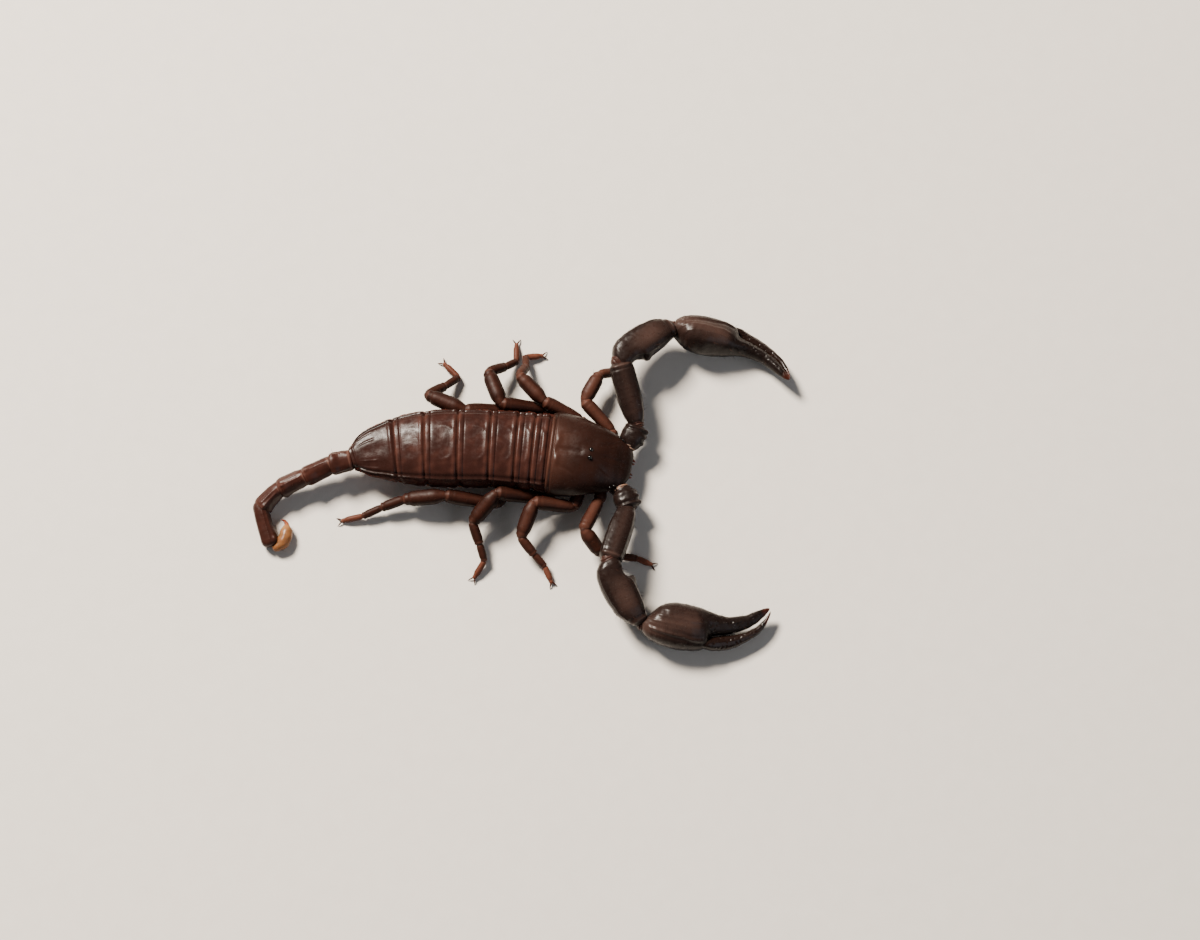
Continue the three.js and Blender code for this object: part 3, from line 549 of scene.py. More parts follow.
# Thinner hardened cuticle, smooth and waxy: dark brown with sharp thin lines of light.
tergite_cuticle = cuticle("brown_tergite_cuticle", "2e1915", "190e0b", "57352c",
                          roughness=0.26, grain=0.06, relief=0.0015, shine=0.1)
for number in range(1, 8):
    length, s, angle, grid, side, half = ring_sheet(
        number, LAP_FRONT * (number > 1), 26, EDGE_ANGLE, math.pi - EDGE_ANGLE, 104)
    share, back = np.abs(side) / half, s / length
    large = min(1.0, length / 1.5)
    shape = (through(TERGITE_FRONT, np.clip(s[:, 0], -0.2, 0.6))
             + through(TERGITE_REAR, np.clip(length - s[:, 0], -0.1, 0.4)))
    # A low arch, open to the rear, that the paired muscles press into the plate.
    arch = ((share / 0.45) ** 4 + (np.maximum(0.8 * length - s, 0) / (0.8 * length - 0.34)) ** 4)
    arch = ridge(arch ** 0.25, 1.0, 0.08 + 0.04 / length) * smooth(0.8 * length, 0.3 * length, s)
    swell = (0.024 * arch * (0.6 + 0.4 * ridge(np.abs(side), 0.8, 0.25)) * ARCHES[number - 1]
             - 0.014 * ridge(back, 0.6, 0.16) * ridge(np.abs(side), 0.45, 0.2) * large
             - 0.012 * ridge(back, 0.55, 0.2) * ridge(share, 0.72, 0.08) * large)
    if 3 <= number <= 6:
        keel = 0.024 * ridge(side, 0, 0.035) * smooth(0.38, 0.5, back) * smooth(0.8, 0.7, back)
        swell = swell + keel
    if number == 7:
        swell = (0.018 * ridge(share, 0.35, 0.2) * ridge(back, 0.35, 0.14)
                 + 0.02 * ridge(share, 0.3, 0.16) * ridge(back, 0.62, 0.12))
        for place, reach in ((0.42, 0.62), (0.72, 0.75)):
            line = ridge(share, place, 0.045) * smooth(0.4, 0.5, back) * smooth(0.93, reach, back)
            swell = swell + 0.018 * line
    edge = angle - EDGE_ANGLE
    edge = np.minimum(edge, math.pi - 2 * EDGE_ANGLE - edge)
    rim = 0.045 * ridge(edge, 0.035, 0.035) - 0.025 * ridge(edge, 0.15, 0.06)
    belly = 0.035 * np.sin(math.pi * np.clip(back, 0, 1)) * smooth(0.6, 0.0, edge)
    if number == 7:  # its corners tuck in round the root of the tail
        rim = rim * smooth(length, length - 0.5, s)
        shape = shape - 0.1 * smooth(length - 0.6, length, s) * smooth(0.6, 0.0, edge)
    swell = (swell + 0.004 * uneven(grid, 0.8, number)) * smooth(0.0, 0.15, s)
    offset = shape + swell * smooth(0.0, 0.2, edge) + rim + belly
    # Painted light: the side edges are darker, as painted shade, the raised side rim lighter, as a
    # painted highlight, and the last plate darker all over, as painted shade to hold down its
    # highlight.
    tone = (0.25 * smooth(length - 0.1, length, s) + 0.15 * ridge(s, 0.3, 0.14)
            + 0.3 * ridge(s, 0.12, 0.06) - 0.5 * smooth(0.35, 0.0, edge) + 0.1 * rim / 0.05
            + 0.15 * uneven(grid, 0.7, number) - 0.3 * (number == 7))
    fixed(plate(f"tergite_{number}", raised(grid, offset, closed=False), tergite_cuticle, tone),
          "rings", f"mesosoma_{number}")

# ---------------- sternites
# The five belly plates behind the pectines, smooth and paler than the back. The first four
# each have a pair of slanted breathing slits.
STERNITE_EDGE = math.radians(24)
SLIT_PLACE = 0.55  # share of the half width
SLIT_SLANT = 0.45
SLIT_HALF_LENGTH = 0.19
SLIT_HALF_WIDTH = 0.05
SLIT_DEPTH = 0.06
# Thin smooth belly cuticle with little pigment: tan, clean and faintly glowing.
sternite_cuticle = cuticle("tan_sternite_cuticle", "5c3524", "3c2015", "865842",
                           roughness=0.36, grain=0.06, relief=0.003, glow=0.1)
for number in range(3, 8):
    length, s, angle, grid, side, half = ring_sheet(
        number, 0.1, 24, math.pi + STERNITE_EDGE, math.tau - STERNITE_EDGE, 120)
    offset = (-0.05 + 0.05 * smooth(0.0, 0.15, s) + 0.012 * ridge(s, length - 0.05, 0.08)
              + 0.008 * uneven(grid, 0.8, number))
    tone = 0.4 * smooth(length - 0.15, length, s) + 0.2 * uneven(grid, 1.0, number)
    if number < 7:
        along, across = s - length * 0.45, (np.abs(side) / half - SLIT_PLACE) * half
        turned = along * math.cos(SLIT_SLANT) + across * math.sin(SLIT_SLANT)
        aside = across * math.cos(SLIT_SLANT) - along * math.sin(SLIT_SLANT)
        slit = ridge(turned, 0, SLIT_HALF_WIDTH) * ridge(aside, 0, SLIT_HALF_LENGTH)
        offset = offset - SLIT_DEPTH * slit
        # The slits are painted dark, as painted shade inside them.
        tone = tone - 2.4 * slit
    fixed(plate(f"sternite_{number}", raised(grid, offset, closed=False), sternite_cuticle,
                tone), "belly", f"mesosoma_{number}")

# ---------------- pedipalps
# The pincer arms. Each is a rough, keeled tube of dark cuticle in five pieces: a knobbed
# trochanter, femur, patella with a spur inside, and the pincer with its fixed and free
# finger, joined by narrow rings of pale joint skin.
PALPS = {
    "left": {"joints": [[3.94, 0.57, 1.15], [4.32, 1.61, 1.3], [3.47, 4.58, 2.06],
                        [6.2, 6.56, 1.46], [12.07, 4.04, 1.04]],
             "roll": 36, "closed": 1.8, "drawn_in": 0.5, "hand": -1},
    "right": {"joints": [[3.6, -1.9, 1.15], [3.88, -2.77, 1.27], [2.96, -5.66, 2.15],
                         [4.58, -8.65, 1.26], [10.89, -7.94, 0.75]],
              "roll": 15, "closed": 0, "drawn_in": 0, "hand": 1},
}
# Rows are [millimetres along, reach to the inner side, to the outer side, above, below].
TROCHANTER = [
    [-0.25, 0.34, 0.24, 0.3, 0.3], [0.0, 0.54, 0.42, 0.42, 0.44], [0.4, 0.64, 0.55, 0.5, 0.48],
    [0.8, 0.62, 0.5, 0.46, 0.44], [0.98, 0.48, 0.4, 0.36, 0.36],
]
PALP_FEMUR = [
    [-0.04, 0.34, 0.36, 0.3, 0.3], [0.2, 0.44, 0.44, 0.42, 0.42], [0.7, 0.55, 0.55, 0.5, 0.5],
    [1.6, 0.62, 0.62, 0.55, 0.55], [2.65, 0.63, 0.6, 0.55, 0.55], [2.95, 0.58, 0.56, 0.5, 0.5],
    [3.12, 0.44, 0.44, 0.4, 0.4],
]
PALP_PATELLA = [
    [-0.1, 0.34, 0.46, 0.36, 0.36], [0.05, 0.42, 0.66, 0.46, 0.46], [0.25, 0.46, 0.84, 0.52, 0.52],
    [0.8, 0.36, 1.0, 0.58, 0.58], [1.1, 0.47, 1.04, 0.62, 0.62], [1.45, 0.62, 1.05, 0.65, 0.65],
    [2.2, 0.58, 0.98, 0.66, 0.66], [2.9, 0.46, 0.75, 0.58, 0.58], [3.25, 0.39, 0.5, 0.46, 0.46],
    [3.4, 0.33, 0.4, 0.38, 0.38],
]
# The palm of the pincer and its fixed finger are one shell.
MANUS = [
    [-0.02, 0.22, 0.42, 0.38, 0.38], [0.15, 0.31, 0.64, 0.54, 0.54], [0.4, 0.45, 0.82, 0.68, 0.68],
    [0.75, 0.7, 1.04, 0.8, 0.8], [1.1, 0.87, 1.2, 0.86, 0.86], [1.55, 0.93, 1.36, 0.88, 0.88],
    [2.1, 0.84, 1.47, 0.87, 0.87], [2.6, 0.68, 1.52, 0.8, 0.8], [2.86, 0.59, 1.49, 0.73, 0.73],
    [3.0, 0.53, 1.42, 0.67, 0.67], [3.1, 0.49, 1.25, 0.6, 0.6], [3.22, 0.42, 0.96, 0.53, 0.53],
    [3.5, 0.28, 0.89, 0.46, 0.44], [4.0, 0.06, 0.88, 0.39, 0.37], [4.5, -0.04, 0.84, 0.33, 0.32],
    [5.0, -0.03, 0.73, 0.29, 0.28], [5.5, 0.08, 0.54, 0.26, 0.25], [5.95, 0.19, 0.24, 0.17, 0.17],
    [6.2, 0.23, 0.04, 0.1, 0.1], [6.33, 0.22, -0.1, 0.05, 0.05],
]
FREE_FINGER = [
    [2.45, -0.9, 1.22, 0.4, 0.42], [2.75, -0.93, 1.42, 0.55, 0.56], [3.05, -0.94, 1.54, 0.56, 0.57],
    [3.4, -0.93, 1.63, 0.47, 0.48],
    [3.9, -0.93, 1.65, 0.38, 0.4], [4.4, -0.92, 1.58, 0.33, 0.35], [4.85, -0.88, 1.42, 0.3, 0.31],
    [5.36, -0.75, 1.19, 0.26, 0.27], [5.9, -0.44, 0.83, 0.18, 0.18], [6.2, -0.17, 0.44, 0.11, 0.11],
    [6.38, 0.06, 0.1, 0.04, 0.04],
]
PINCER_LENGTH = 6.4
FINGER_HINGE = 3.08
SLIT_SHARE = 0.25
MANUS_KEEL = [[0.0, 0.0], [0.8, -0.38], [1.8, -0.74], [2.8, -1.05], [6.4, -1.2]]
BEAD_PITCH = 0.12
BEAD_DEPTH = 0.12  # as a share of the keel's height
PALP_GRANULES_PER_MM2 = 260
TOOTH_PITCH = 0.06
TOOTH_HEIGHT = 0.022
TOOTH_ROW = (3.7, 6.1)
PLEAT_PITCH = 0.12
PLEAT_DEPTH = 0.02


def limb_axes(start, end, hand=1, roll=0):
    """The way a limb goes, its inner side and its upper side."""
    way = (end - start) / np.linalg.norm(end - start)
    inward = np.cross([0, 0, 1], way)
    inward *= hand / np.linalg.norm(inward)
    upright = np.cross(way, inward) * hand
    turn = math.radians(roll)
    return (way, inward * math.cos(turn) + upright * math.sin(turn),
            upright * math.cos(turn) - inward * math.sin(turn))


def limb_rings(start, end, rows, hand=1, roll=0, square=2.4, step=0.05, sides=64, girth=None):
    """Rings of points round a limb between two joints, with each point's place along it,
    across it and up it in mm, its angle round it, and its rise, from -1 below to 1 on top.
    Rows of three give both sides, and above and below, at once. With a girth, rows are
    shares of the length and of the girth."""
    way, inward, upward = limb_axes(start, end, hand, roll)
    length = np.linalg.norm(end - start)
    rows = np.array(rows, float)
    if rows.shape[1] == 3:
        rows = rows[:, [0, 1, 1, 2, 2]]
    if girth:
        rows = rows * [length, girth, girth, girth, girth]
    along = np.linspace(rows[0, 0], rows[-1, 0], int((rows[-1, 0] - rows[0, 0]) / step) + 2)
    inner, outer, above, below = through(rows, along).T[..., None]
    angle = around(sides)
    half = (inner + outer) / 2
    across, up = rounded(angle, half, half, above, below, square)
    across = across + (inner - outer) / 2
    place = along[:, None]
    rings = start + place[..., None] * way + across[..., None] * inward + up[..., None] * upward
    return SimpleNamespace(rings=rings, place=place, across=across, up=up, angle=angle,
                           rise=np.sin(angle), length=length)


surfaces = {}  # the finished rings of each limb, for the bristles that grow on them


def limb(name, start, end, rows, finish, carve=None, tone=None, ends=(0.05, 0.05), **build):
    """A limb segment between two joints. Carve gives the relief of its surface and tone its
    shade, from what limb_rings says of each point."""
    at = limb_rings(start, end, rows, **build)
    surfaces[name] = raised(at.rings, carve(at)) if carve else at.rings
    return sleeve(name, surfaces[name], finish, tone(at) if tone else 0.0, ends)


def beaded(place):
    """A keel made of beads: the share of its height at a place along it."""
    return 1 - BEAD_DEPTH + BEAD_DEPTH * np.cos(place * math.tau / BEAD_PITCH)


def keels(angles, width, height, start, stop):
    """The relief of beaded keels at given angles round a limb, from start to stop along it.
    A stop below 0 counts from its far end."""
    def carve(at):
        relief = 0.004 * uneven(at.rings, 0.35)
        far = stop if stop > 0 else at.length + stop
        fade = smooth(start, start + 0.25, at.place) * smooth(far, far - 0.2, at.place)
        for turn in angles:
            away = (at.angle - math.radians(turn) + math.pi) % math.tau - math.pi
            relief += height * ridge(away, 0, width) * fade * beaded(at.place)
        return relief
    return carve


def cone_tree(finish):
    """Bent cones, one planted on each point along its attribute way, and as long as its
    attribute reach."""
    tree, sizes = sized_tree("planted_cones", Root="Float", Tip="Float", Bend="Float",
                             Sides="Int", Steps="Int")
    cone = add(tree, "GeometryNodeMeshCone",
               {"Vertices": sizes["Sides"], "Side Segments": sizes["Steps"], "Depth": 1.0,
                "Radius Bottom": sizes["Root"], "Radius Top": sizes["Tip"]})
    place = add(tree, "GeometryNodeInputPosition")
    height = add(tree, "ShaderNodeSeparateXYZ", {0: place}).outputs[2]
    squared = add(tree, "ShaderNodeMath", {0: height, 1: height}, operation="MULTIPLY")
    aside = add(tree, "ShaderNodeMath", {0: squared, 1: sizes["Bend"]}, operation="MULTIPLY")
    shift = add(tree, "ShaderNodeCombineXYZ", {0: aside})
    bent = add(tree, "GeometryNodeSetPosition", {"Geometry": cone, "Offset": shift})
    spots = add(tree, "GeometryNodeMeshToPoints", {0: sizes["Geometry"]})
    way = add(tree, "GeometryNodeInputNamedAttribute", {"Name": "way"}, data_type="FLOAT_VECTOR")
    reach = add(tree, "GeometryNodeInputNamedAttribute", {"Name": "reach"}, data_type="FLOAT")
    turn = add(tree, "FunctionNodeAlignRotationToVector", {"Vector": way}, axis="Z")
    size = add(tree, "ShaderNodeCombineXYZ", {0: reach, 1: reach, 2: reach})
    cones = add(tree, "GeometryNodeInstanceOnPoints",
                {"Points": spots, "Instance": bent, "Rotation": turn, "Scale": size})
    return finished_tree(tree, cones, finish)


def planted(name, roots, ways, reaches, finish, root, tip, bend, sides, steps):
    """Cones planted at roots in mm, along ways, each as long as its reach in mm. Root, tip
    and bend are shares of that length."""
    bed_mesh = bpy.data.meshes.new(f"{name}_bed")
    bed_mesh.from_pydata((np.asarray(roots) * MM).tolist(), [], [])
    mark(bed_mesh, "way", np.broadcast_to(ways, (len(roots), 3)))
    mark(bed_mesh, "reach", np.full(len(roots), reaches, np.float32) * MM)
    bed = shown(f"{name}_bed", bed_mesh)
    piece = grown(name, cone_tree(finish), bed, Root=root, Tip=tip, Bend=bend, Sides=sides,
                  Steps=steps)
    bpy.data.objects.remove(bed)
    return piece


def knobs(at):
    """Four knobs on the inner side of the trochanter, and a collar at its far end."""
    relief = 0.012 * uneven(at.rings, 0.4)
    for where, level, size in ((0.2, 0.1, 0.08), (0.5, 0.2, 0.11), (0.8, 0.1, 0.15),
                               (0.62, -0.16, 0.1)):
        relief += size * (ridge(at.place, where, 0.1) * ridge(at.up, level, 0.13)
                          * smooth(0.25, 0.45, at.across))
    collar = 0.035 * ridge(at.place, 0.86, 0.05) - 0.02 * ridge(at.place, 0.74, 0.06)
    return relief + collar * smooth(0.0, 0.6, at.rise)


def lipped(relief, rim):
    """A segment's relief with the polished lip of its far end added on top of it."""
    def carve(at):
        lip = 0.035 * ridge(at.place, rim, 0.06) - 0.025 * ridge(at.place, rim - 0.17, 0.07)
        return relief(at) + lip * smooth(-0.2, 0.6, at.rise)
    return carve


femur_relief = lipped(keels((45, 135, 218, 322), 0.07, 0.03, 0.2, 3.0), 2.96)
patella_relief = lipped(keels((35, 140, 215, 320), 0.07, 0.03, 0.25, 3.15), 3.22)


def spurred(at):
    """The patella's relief with the blunt spur on its inner side."""
    steep = np.where(at.place < 1.2, 0.1, 0.32)
    spur = 0.2 * ridge(at.place, 1.2, steep) * smooth(0.4, 0.6, at.across)
    return patella_relief(at) + spur * ridge(at.up, 0.05, 0.25)


def pocked(at):
    """Shallow pocks over the fingers, and a low ridge along the top of each."""
    crest = ridge(at.angle, math.radians(80), 0.16) * smooth(5.6, 4.6, at.place)
    pocks = smooth(0.35, 0.75, uneven(at.rings, 0.26, 1.0)) * smooth(0.2, 0.7, at.rise)
    return (0.02 * crest - 0.028 * pocks) * smooth(2.9, 3.5, at.place)


def palm_relief(at):
    """The palm's slanting keel between two furrows, lines beside it, and beaded edges."""
    keel = through(MANUS_KEEL, at.place[:, 0])
    top, under = smooth(0.1, 0.4, at.rise), smooth(0.1, 0.4, -at.rise)
    relief = 0
    for share, line, height, width in (
            (1, 0, 0.05, 0.055), (1, -0.17, -0.022, 0.08), (1, 0.17, -0.022, 0.08),
            (0.8, 0.42, 0.022, 0.06), (0.8, 0.75, 0.018, 0.06), (0.8, 1.1, 0.016, 0.06)):
        relief = relief + height * ridge(at.across, keel * share + line, width) * top
    relief = relief + 0.04 * ridge(at.across, keel - 0.3, 0.07) * under * beaded(at.place)
    edge = 0.03 * ridge(at.angle, math.pi, 0.1) * beaded(at.place)
    fade = smooth(0.1, 0.4, at.place) * smooth(3.05, 2.6, at.place)
    return (relief + edge) * fade + 0.004 * uneven(at.rings, 0.5) + pocked(at)


def in_patches(places):
    """Granules in loose patches, thick in one place and thin in the next."""
    return 0.35 + 0.5 * uneven(places, 1.1, 4.0)


# The trochanter is darker all over, with its far collar painted lighter as a painted highlight.
def trochanter_tone(at):
    return -0.4 + 0.4 * ridge(at.place, 0.9, 0.08)


# Painted light: a painted highlight on the far lip, and a lighter middle and darker sides as
# painted shading of the round.
def femur_tone(at):
    return (0.4 * ridge(at.place, 2.98, 0.08) + 0.15 * smooth(0.3, 0.0, np.abs(at.across))
            - 0.5 * smooth(0.3, 0.6, np.abs(at.across)))


# Painted light: a lighter patch mid-way as a painted sheen, a painted highlight on the far lip, and
# darker sides as painted shade.
def patella_tone(at):
    return (0.5 * ridge(at.place, 1.9, 0.9) * ridge(at.across, -0.2, 0.5)
            + 0.4 * ridge(at.place, 3.24, 0.08) - 0.6 * smooth(0.4, 0.9, np.abs(at.across + 0.2)))


# A lighter band along the top as a painted sheen, and the underside and outer side darker as
# painted shade. The fingers are darker and their tips red, as their own colour.
def palm_tone(at):
    return ((0.5 * ridge(at.across, -0.1, 0.5) * smooth(0.0, 0.5, at.rise)
             - 0.7 * smooth(0.0, -0.5, at.rise) - 0.35 * smooth(-1.0, -1.5, at.across))
            * smooth(3.6, 2.6, at.place) - 0.75 * smooth(2.4, 3.4, at.place)
            - 1.1 * smooth(5.7, 6.3, at.place))


# The thickest cuticle of all: blackish brown with a satin wax, glassy and darker on the
# biting fingers, whose tips wear to red. Joint skin is soft, pale where it stands open.
palp_cuticle = cuticle("rough_pincer_arm_cuticle", "1f1411", "110b09", "493630",
                       tip="3b160c", roughness=0.31, grain=0.07, relief=0.002, shine=0.17)
finger_cuticle = cuticle("black_finger_cuticle", "1d110d", "0f0806", "422a22",
                         tip="3b160c", roughness=0.25, grain=0.1, relief=0.003, shine=0.2)
pale_skin = cuticle("pale_joint_skin", "84695a", "583f33", "b39c8a",
                    roughness=0.35, grain=0.05, relief=0.006, glow=0.3)
brown_skin = cuticle("brown_joint_skin", "38201a", "1d0f0a", "5f4032",
                     roughness=0.4, grain=0.05, relief=0.006, glow=0.15)
for name, palp in PALPS.items():
    shoulder, hip, elbow, wrist, tips = [WAIST + np.array(p) for p in palp["joints"]]
    arm, hand, roll = f"pedipalp_{name}", palp["hand"], palp["roll"]
    shut = math.tan(math.radians(palp["closed"]))

    def drawn(along):
        """How far the fingers are drawn together at a place along them."""
        part = np.clip(along / PINCER_LENGTH, 0, 1)
        return palp["drawn_in"] * np.sin(math.pi * part) ** 1.5

    palm = [[a, inner - drawn(a), outer + SLIT_SHARE * drawn(a) * smooth(3.0, 3.3, a), *rest]
            for a, inner, outer, *rest in MANUS]
    free = [[a, inner + (a - FINGER_HINGE) * shut - SLIT_SHARE * drawn(a),
             outer - (a - FINGER_HINGE) * shut, *rest] for a, inner, outer, *rest in FREE_FINGER]
    shells = {}
    for node, start, end, rows, look in (
            ("trochanter", shoulder, hip, TROCHANTER,
             dict(carve=knobs, tone=trochanter_tone, ends=(0.1, 0.06), sides=72)),
            ("femur", hip, elbow, PALP_FEMUR,
             dict(carve=femur_relief, tone=femur_tone, square=3, sides=104)),
            ("patella", elbow, wrist, PALP_PATELLA,
             dict(carve=spurred, tone=patella_tone, square=2.9, sides=112)),
            ("manus", wrist, tips, palm,
             dict(carve=palm_relief, tone=palm_tone, ends=(0.05, 0.03), square=2.5, sides=144,
                  step=0.025, roll=roll))):
        shells[node] = limb(f"{arm}_{node}_shell", start, end, rows, palp_cuticle,
                            **{"hand": hand, "step": 0.03, "ends": (0.04, 0.04), **look})
        fixed(shells[node], "palps", f"{arm}_{node}")
    fixed(limb(f"{arm}_free_finger", wrist, tips, free, finger_cuticle, carve=pocked, hand=hand,
               roll=roll, square=2.3, sides=72, step=0.03, ends=(0.05, 0.03),
               tone=lambda at: -0.2 - 1.7 * smooth(5.7, 6.3, at.place)),
          "fingers", f"{arm}_finger")

    # The teeth: a close row of blunt grains along the biting edge of each finger.
    roots, ways = [], []
    inward = limb_axes(wrist, tips, hand, roll)[1]
    for rows, column, sign in ((palm, 4, -1), (free, 0, 1)):
        at = limb_rings(wrist, tips, rows, hand, roll, 2.3, TOOTH_PITCH, 8)
        chosen = (at.place[:, 0] > TOOTH_ROW[0]) & (at.place[:, 0] < TOOTH_ROW[1])
        roots.extend(at.rings[chosen, column])
        ways.extend([inward * sign] * chosen.sum())
    fixed(planted(f"{arm}_finger_teeth", roots, ways, TOOTH_HEIGHT, finger_cuticle, root=1.1,
                  tip=0.5, bend=0.0, sides=8, steps=2), "fingers", f"{arm}_finger")
    for node, shell in shells.items():
        fixed(grained(f"{arm}_{node}_granules", shell, in_patches, palp_cuticle,
                      PALP_GRANULES_PER_MM2, seed=5), "palps", f"{arm}_{node}")

    for part, joint, onward, radius, finish in (
            ("shoulder", shoulder, hip, 0.4, pale_skin), ("hip", hip, elbow, 0.36, brown_skin),
            ("elbow", elbow, wrist, 0.4, brown_skin), ("wrist", wrist, tips, 0.3, brown_skin)):
        rows = [[share * radius, reach, reach * 0.95] for share, reach in
                ((-0.9, radius * 0.6), (-0.3, radius), (0.3, radius), (0.9, radius * 0.6))]
        fixed(limb(f"{arm}_{part}_skin", joint, onward, rows, finish, sides=40, step=0.02,
                   carve=lambda at: PLEAT_DEPTH * np.sin(at.place * math.tau / PLEAT_PITCH)),
              "belly")

# ---------------- legs
# Eight walking legs, flattened tubes of thin reddish cuticle that lets a little light in.
# From the coxa come trochanter, femur, patella, tibia and the two tarsal pieces, painted
# lighter along their middle as painted light shining through, darker along their edges as
# painted shade, and pale at the knees, partly for the joint skin and partly as a painted highlight.
LEG_LENGTHS = [[2.03, 1.63, 1.01, 0.82, 0.81], [2.09, 1.85, 1.09, 0.82, 0.89],
               [2.4, 1.93, 1.15, 0.87, 1.0], [2.57, 2.12, 1.2, 1.05, 1.09]]
LEG_GIRTHS = [0.95, 0.97, 1.0, 1.0]
# Painted light: the front legs are painted the palest, and the hind pairs a little darker.
LEG_PAINTED_LIGHT = [0.5, 0.2, -0.1, -0.1]  # the front legs are the palest
FOOT_LEVEL = 0.13
COXA_ENDS = [[2.85, 1.4, 0.78], [1.75, 1.55, 0.76], [0.4, 1.75, 0.74], [-1.9, 1.72, 0.68]]
# For each leg: the root of its femur, the heading and the climb of its segments.
LEG_POSES = {
    ("left", 1): ([3.09, 1.33, 0.85], [134, 62, 19, -23, -48], [12, -3, -36, -28]),
    ("left", 2): ([1.51, 1.89, 0.85], [157, 133, 64, 92, 8], [21, 0, -47, -35]),
    ("left", 3): ([-0.22, 2.43, 0.84], [179, 111, 28, 38, 90], [24, -10, -36, -36]),
    ("left", 4): ([-1.81, 2.4, 0.72], [185, 156, 36, 43, 134], [20, -6, -29, -30]),
    ("right", 1): ([2.47, -2.22, 0.85], [-114, -50, -6, -4, -21], [22, -37, -7, -13]),
    ("right", 2): ([1.18, -2.6, 0.85], [178, -111, -50, -45, -66], [20, -14, -23, -23]),
    ("right", 3): ([-0.41, -2.12, 0.76], [179, -132, -71, -73, -123], [23, -20, -17, -20]),
    ("right", 4): ([-2.68, -2.42, 0.74], [173, 183, 197, 202, 190], [12, -10, -15, -13]),
}
# The node of each segment, and rows of [part of the length, half width, half height] for a
# leg of girth 1.
LEG_SEGMENTS = {
    "trochanter": ["femur", [-0.05, 0.22, 0.22], [0.3, 0.32, 0.31], [0.7, 0.33, 0.32],
                   [1.0, 0.26, 0.26]],
    "femur": ["femur", [-0.02, 0.2, 0.19], [0.1, 0.29, 0.28], [0.5, 0.34, 0.33],
              [0.8, 0.36, 0.35], [0.94, 0.31, 0.31], [1.02, 0.21, 0.21]],
    "patella": ["patella", [-0.03, 0.19, 0.18], [0.08, 0.29, 0.28], [0.38, 0.39, 0.37],
                [0.66, 0.38, 0.37], [0.9, 0.3, 0.3], [1.02, 0.19, 0.19]],
    "tibia": ["foot", [-0.03, 0.15, 0.16], [0.14, 0.23, 0.24], [0.5, 0.25, 0.26],
              [0.88, 0.23, 0.24], [1.02, 0.15, 0.16]],
    "basitarsus": ["foot", [-0.02, 0.13, 0.13], [0.12, 0.18, 0.19], [0.5, 0.19, 0.2],
                   [0.9, 0.17, 0.18], [1.02, 0.11, 0.12]],
    "telotarsus": ["foot", [-0.02, 0.1, 0.1], [0.14, 0.15, 0.16], [0.5, 0.155, 0.16],
                   [0.85, 0.12, 0.13], [0.99, 0.07, 0.08]],
}
LEG_SKINS = {"hip": 0.22, "knee": 0.2, "shin": 0.16, "ankle": 0.115, "heel": 0.09}
CLAW_LENGTH = 0.3
CLAW_SPREAD = 0.17
CLAW_ROWS = [[0.0, 0.0, 0.045], [0.35, 0.45, 0.04], [0.75, 0.85, 0.025], [1.0, 1.0, 0.008]]
TUCKED_FOOT = ("left", 1)  # it stands under the pincer arm, with its claws turned in
SPINE_PITCH = 0.11
SPINE_LENGTH = 0.085


def ahead(start, length, heading, climb):
    """The point a length away along a heading and a climb in degrees."""
    heading, climb = math.radians(heading), math.radians(climb)
    return start + length * np.array([math.cos(climb) * math.cos(heading),
                                      math.cos(climb) * math.sin(heading), math.sin(climb)])


def horn(name, rows, finish, carve=None, tone=0.0, steps=40, sides=48, ends=(0.03, 0.01)):
    """A round tapering horn along a bent middle line: rows are [x, y, z, radius]."""
    rows = np.array(rows, float)
    reach = np.concatenate([[0], np.cumsum(np.linalg.norm(np.diff(rows[:, :3], axis=0), axis=1))])
    path = through(np.column_stack([reach, rows]), np.linspace(0, reach[-1], steps))
    middle, radius = path[:, None, :3] + WAIST, path[:, None, 3:]
    way = np.gradient(middle, axis=0)
    way /= np.linalg.norm(way, axis=2, keepdims=True)
    across = np.cross([0, 0, 1], way)
    across /= np.linalg.norm(across, axis=2, keepdims=True)
    up = np.cross(way, across)
    angle = around(sides)[..., None]
    rings = middle + radius * (np.cos(angle) * across + np.sin(angle) * up)
    if carve:
        rings = raised(rings, carve(rings))
    surfaces[name] = rings
    return sleeve(name, rings, finish, tone, ends)


def leg_relief(at):
    """A collar before the far joint, and a thin keel on top."""
    collar = 0.02 * ridge(at.place, at.length * 0.94, 0.06)
    collar = collar - 0.015 * ridge(at.place, at.length * 0.86, 0.05)
    return collar + 0.01 * ridge(at.rise, 1, 0.03) + 0.003 * uneven(at.rings, 0.3)


# Thin leg cuticle is dull and reddish, as light sinks in, and the toe is paler still.
leg_cuticle = cuticle("reddish_leg_cuticle", "28120c", "170a06", "472a21", roughness=0.46,
                      grain=0.07, relief=0.002, glow=0.1, blotch=0.8, shine=0.08)
tarsus_cuticle = cuticle("pale_tarsus_cuticle", "4a271c", "2b150e", "6e4334", roughness=0.45,
                         grain=0.06, relief=0.002, glow=0.12, blotch=0.6, shine=0.08)
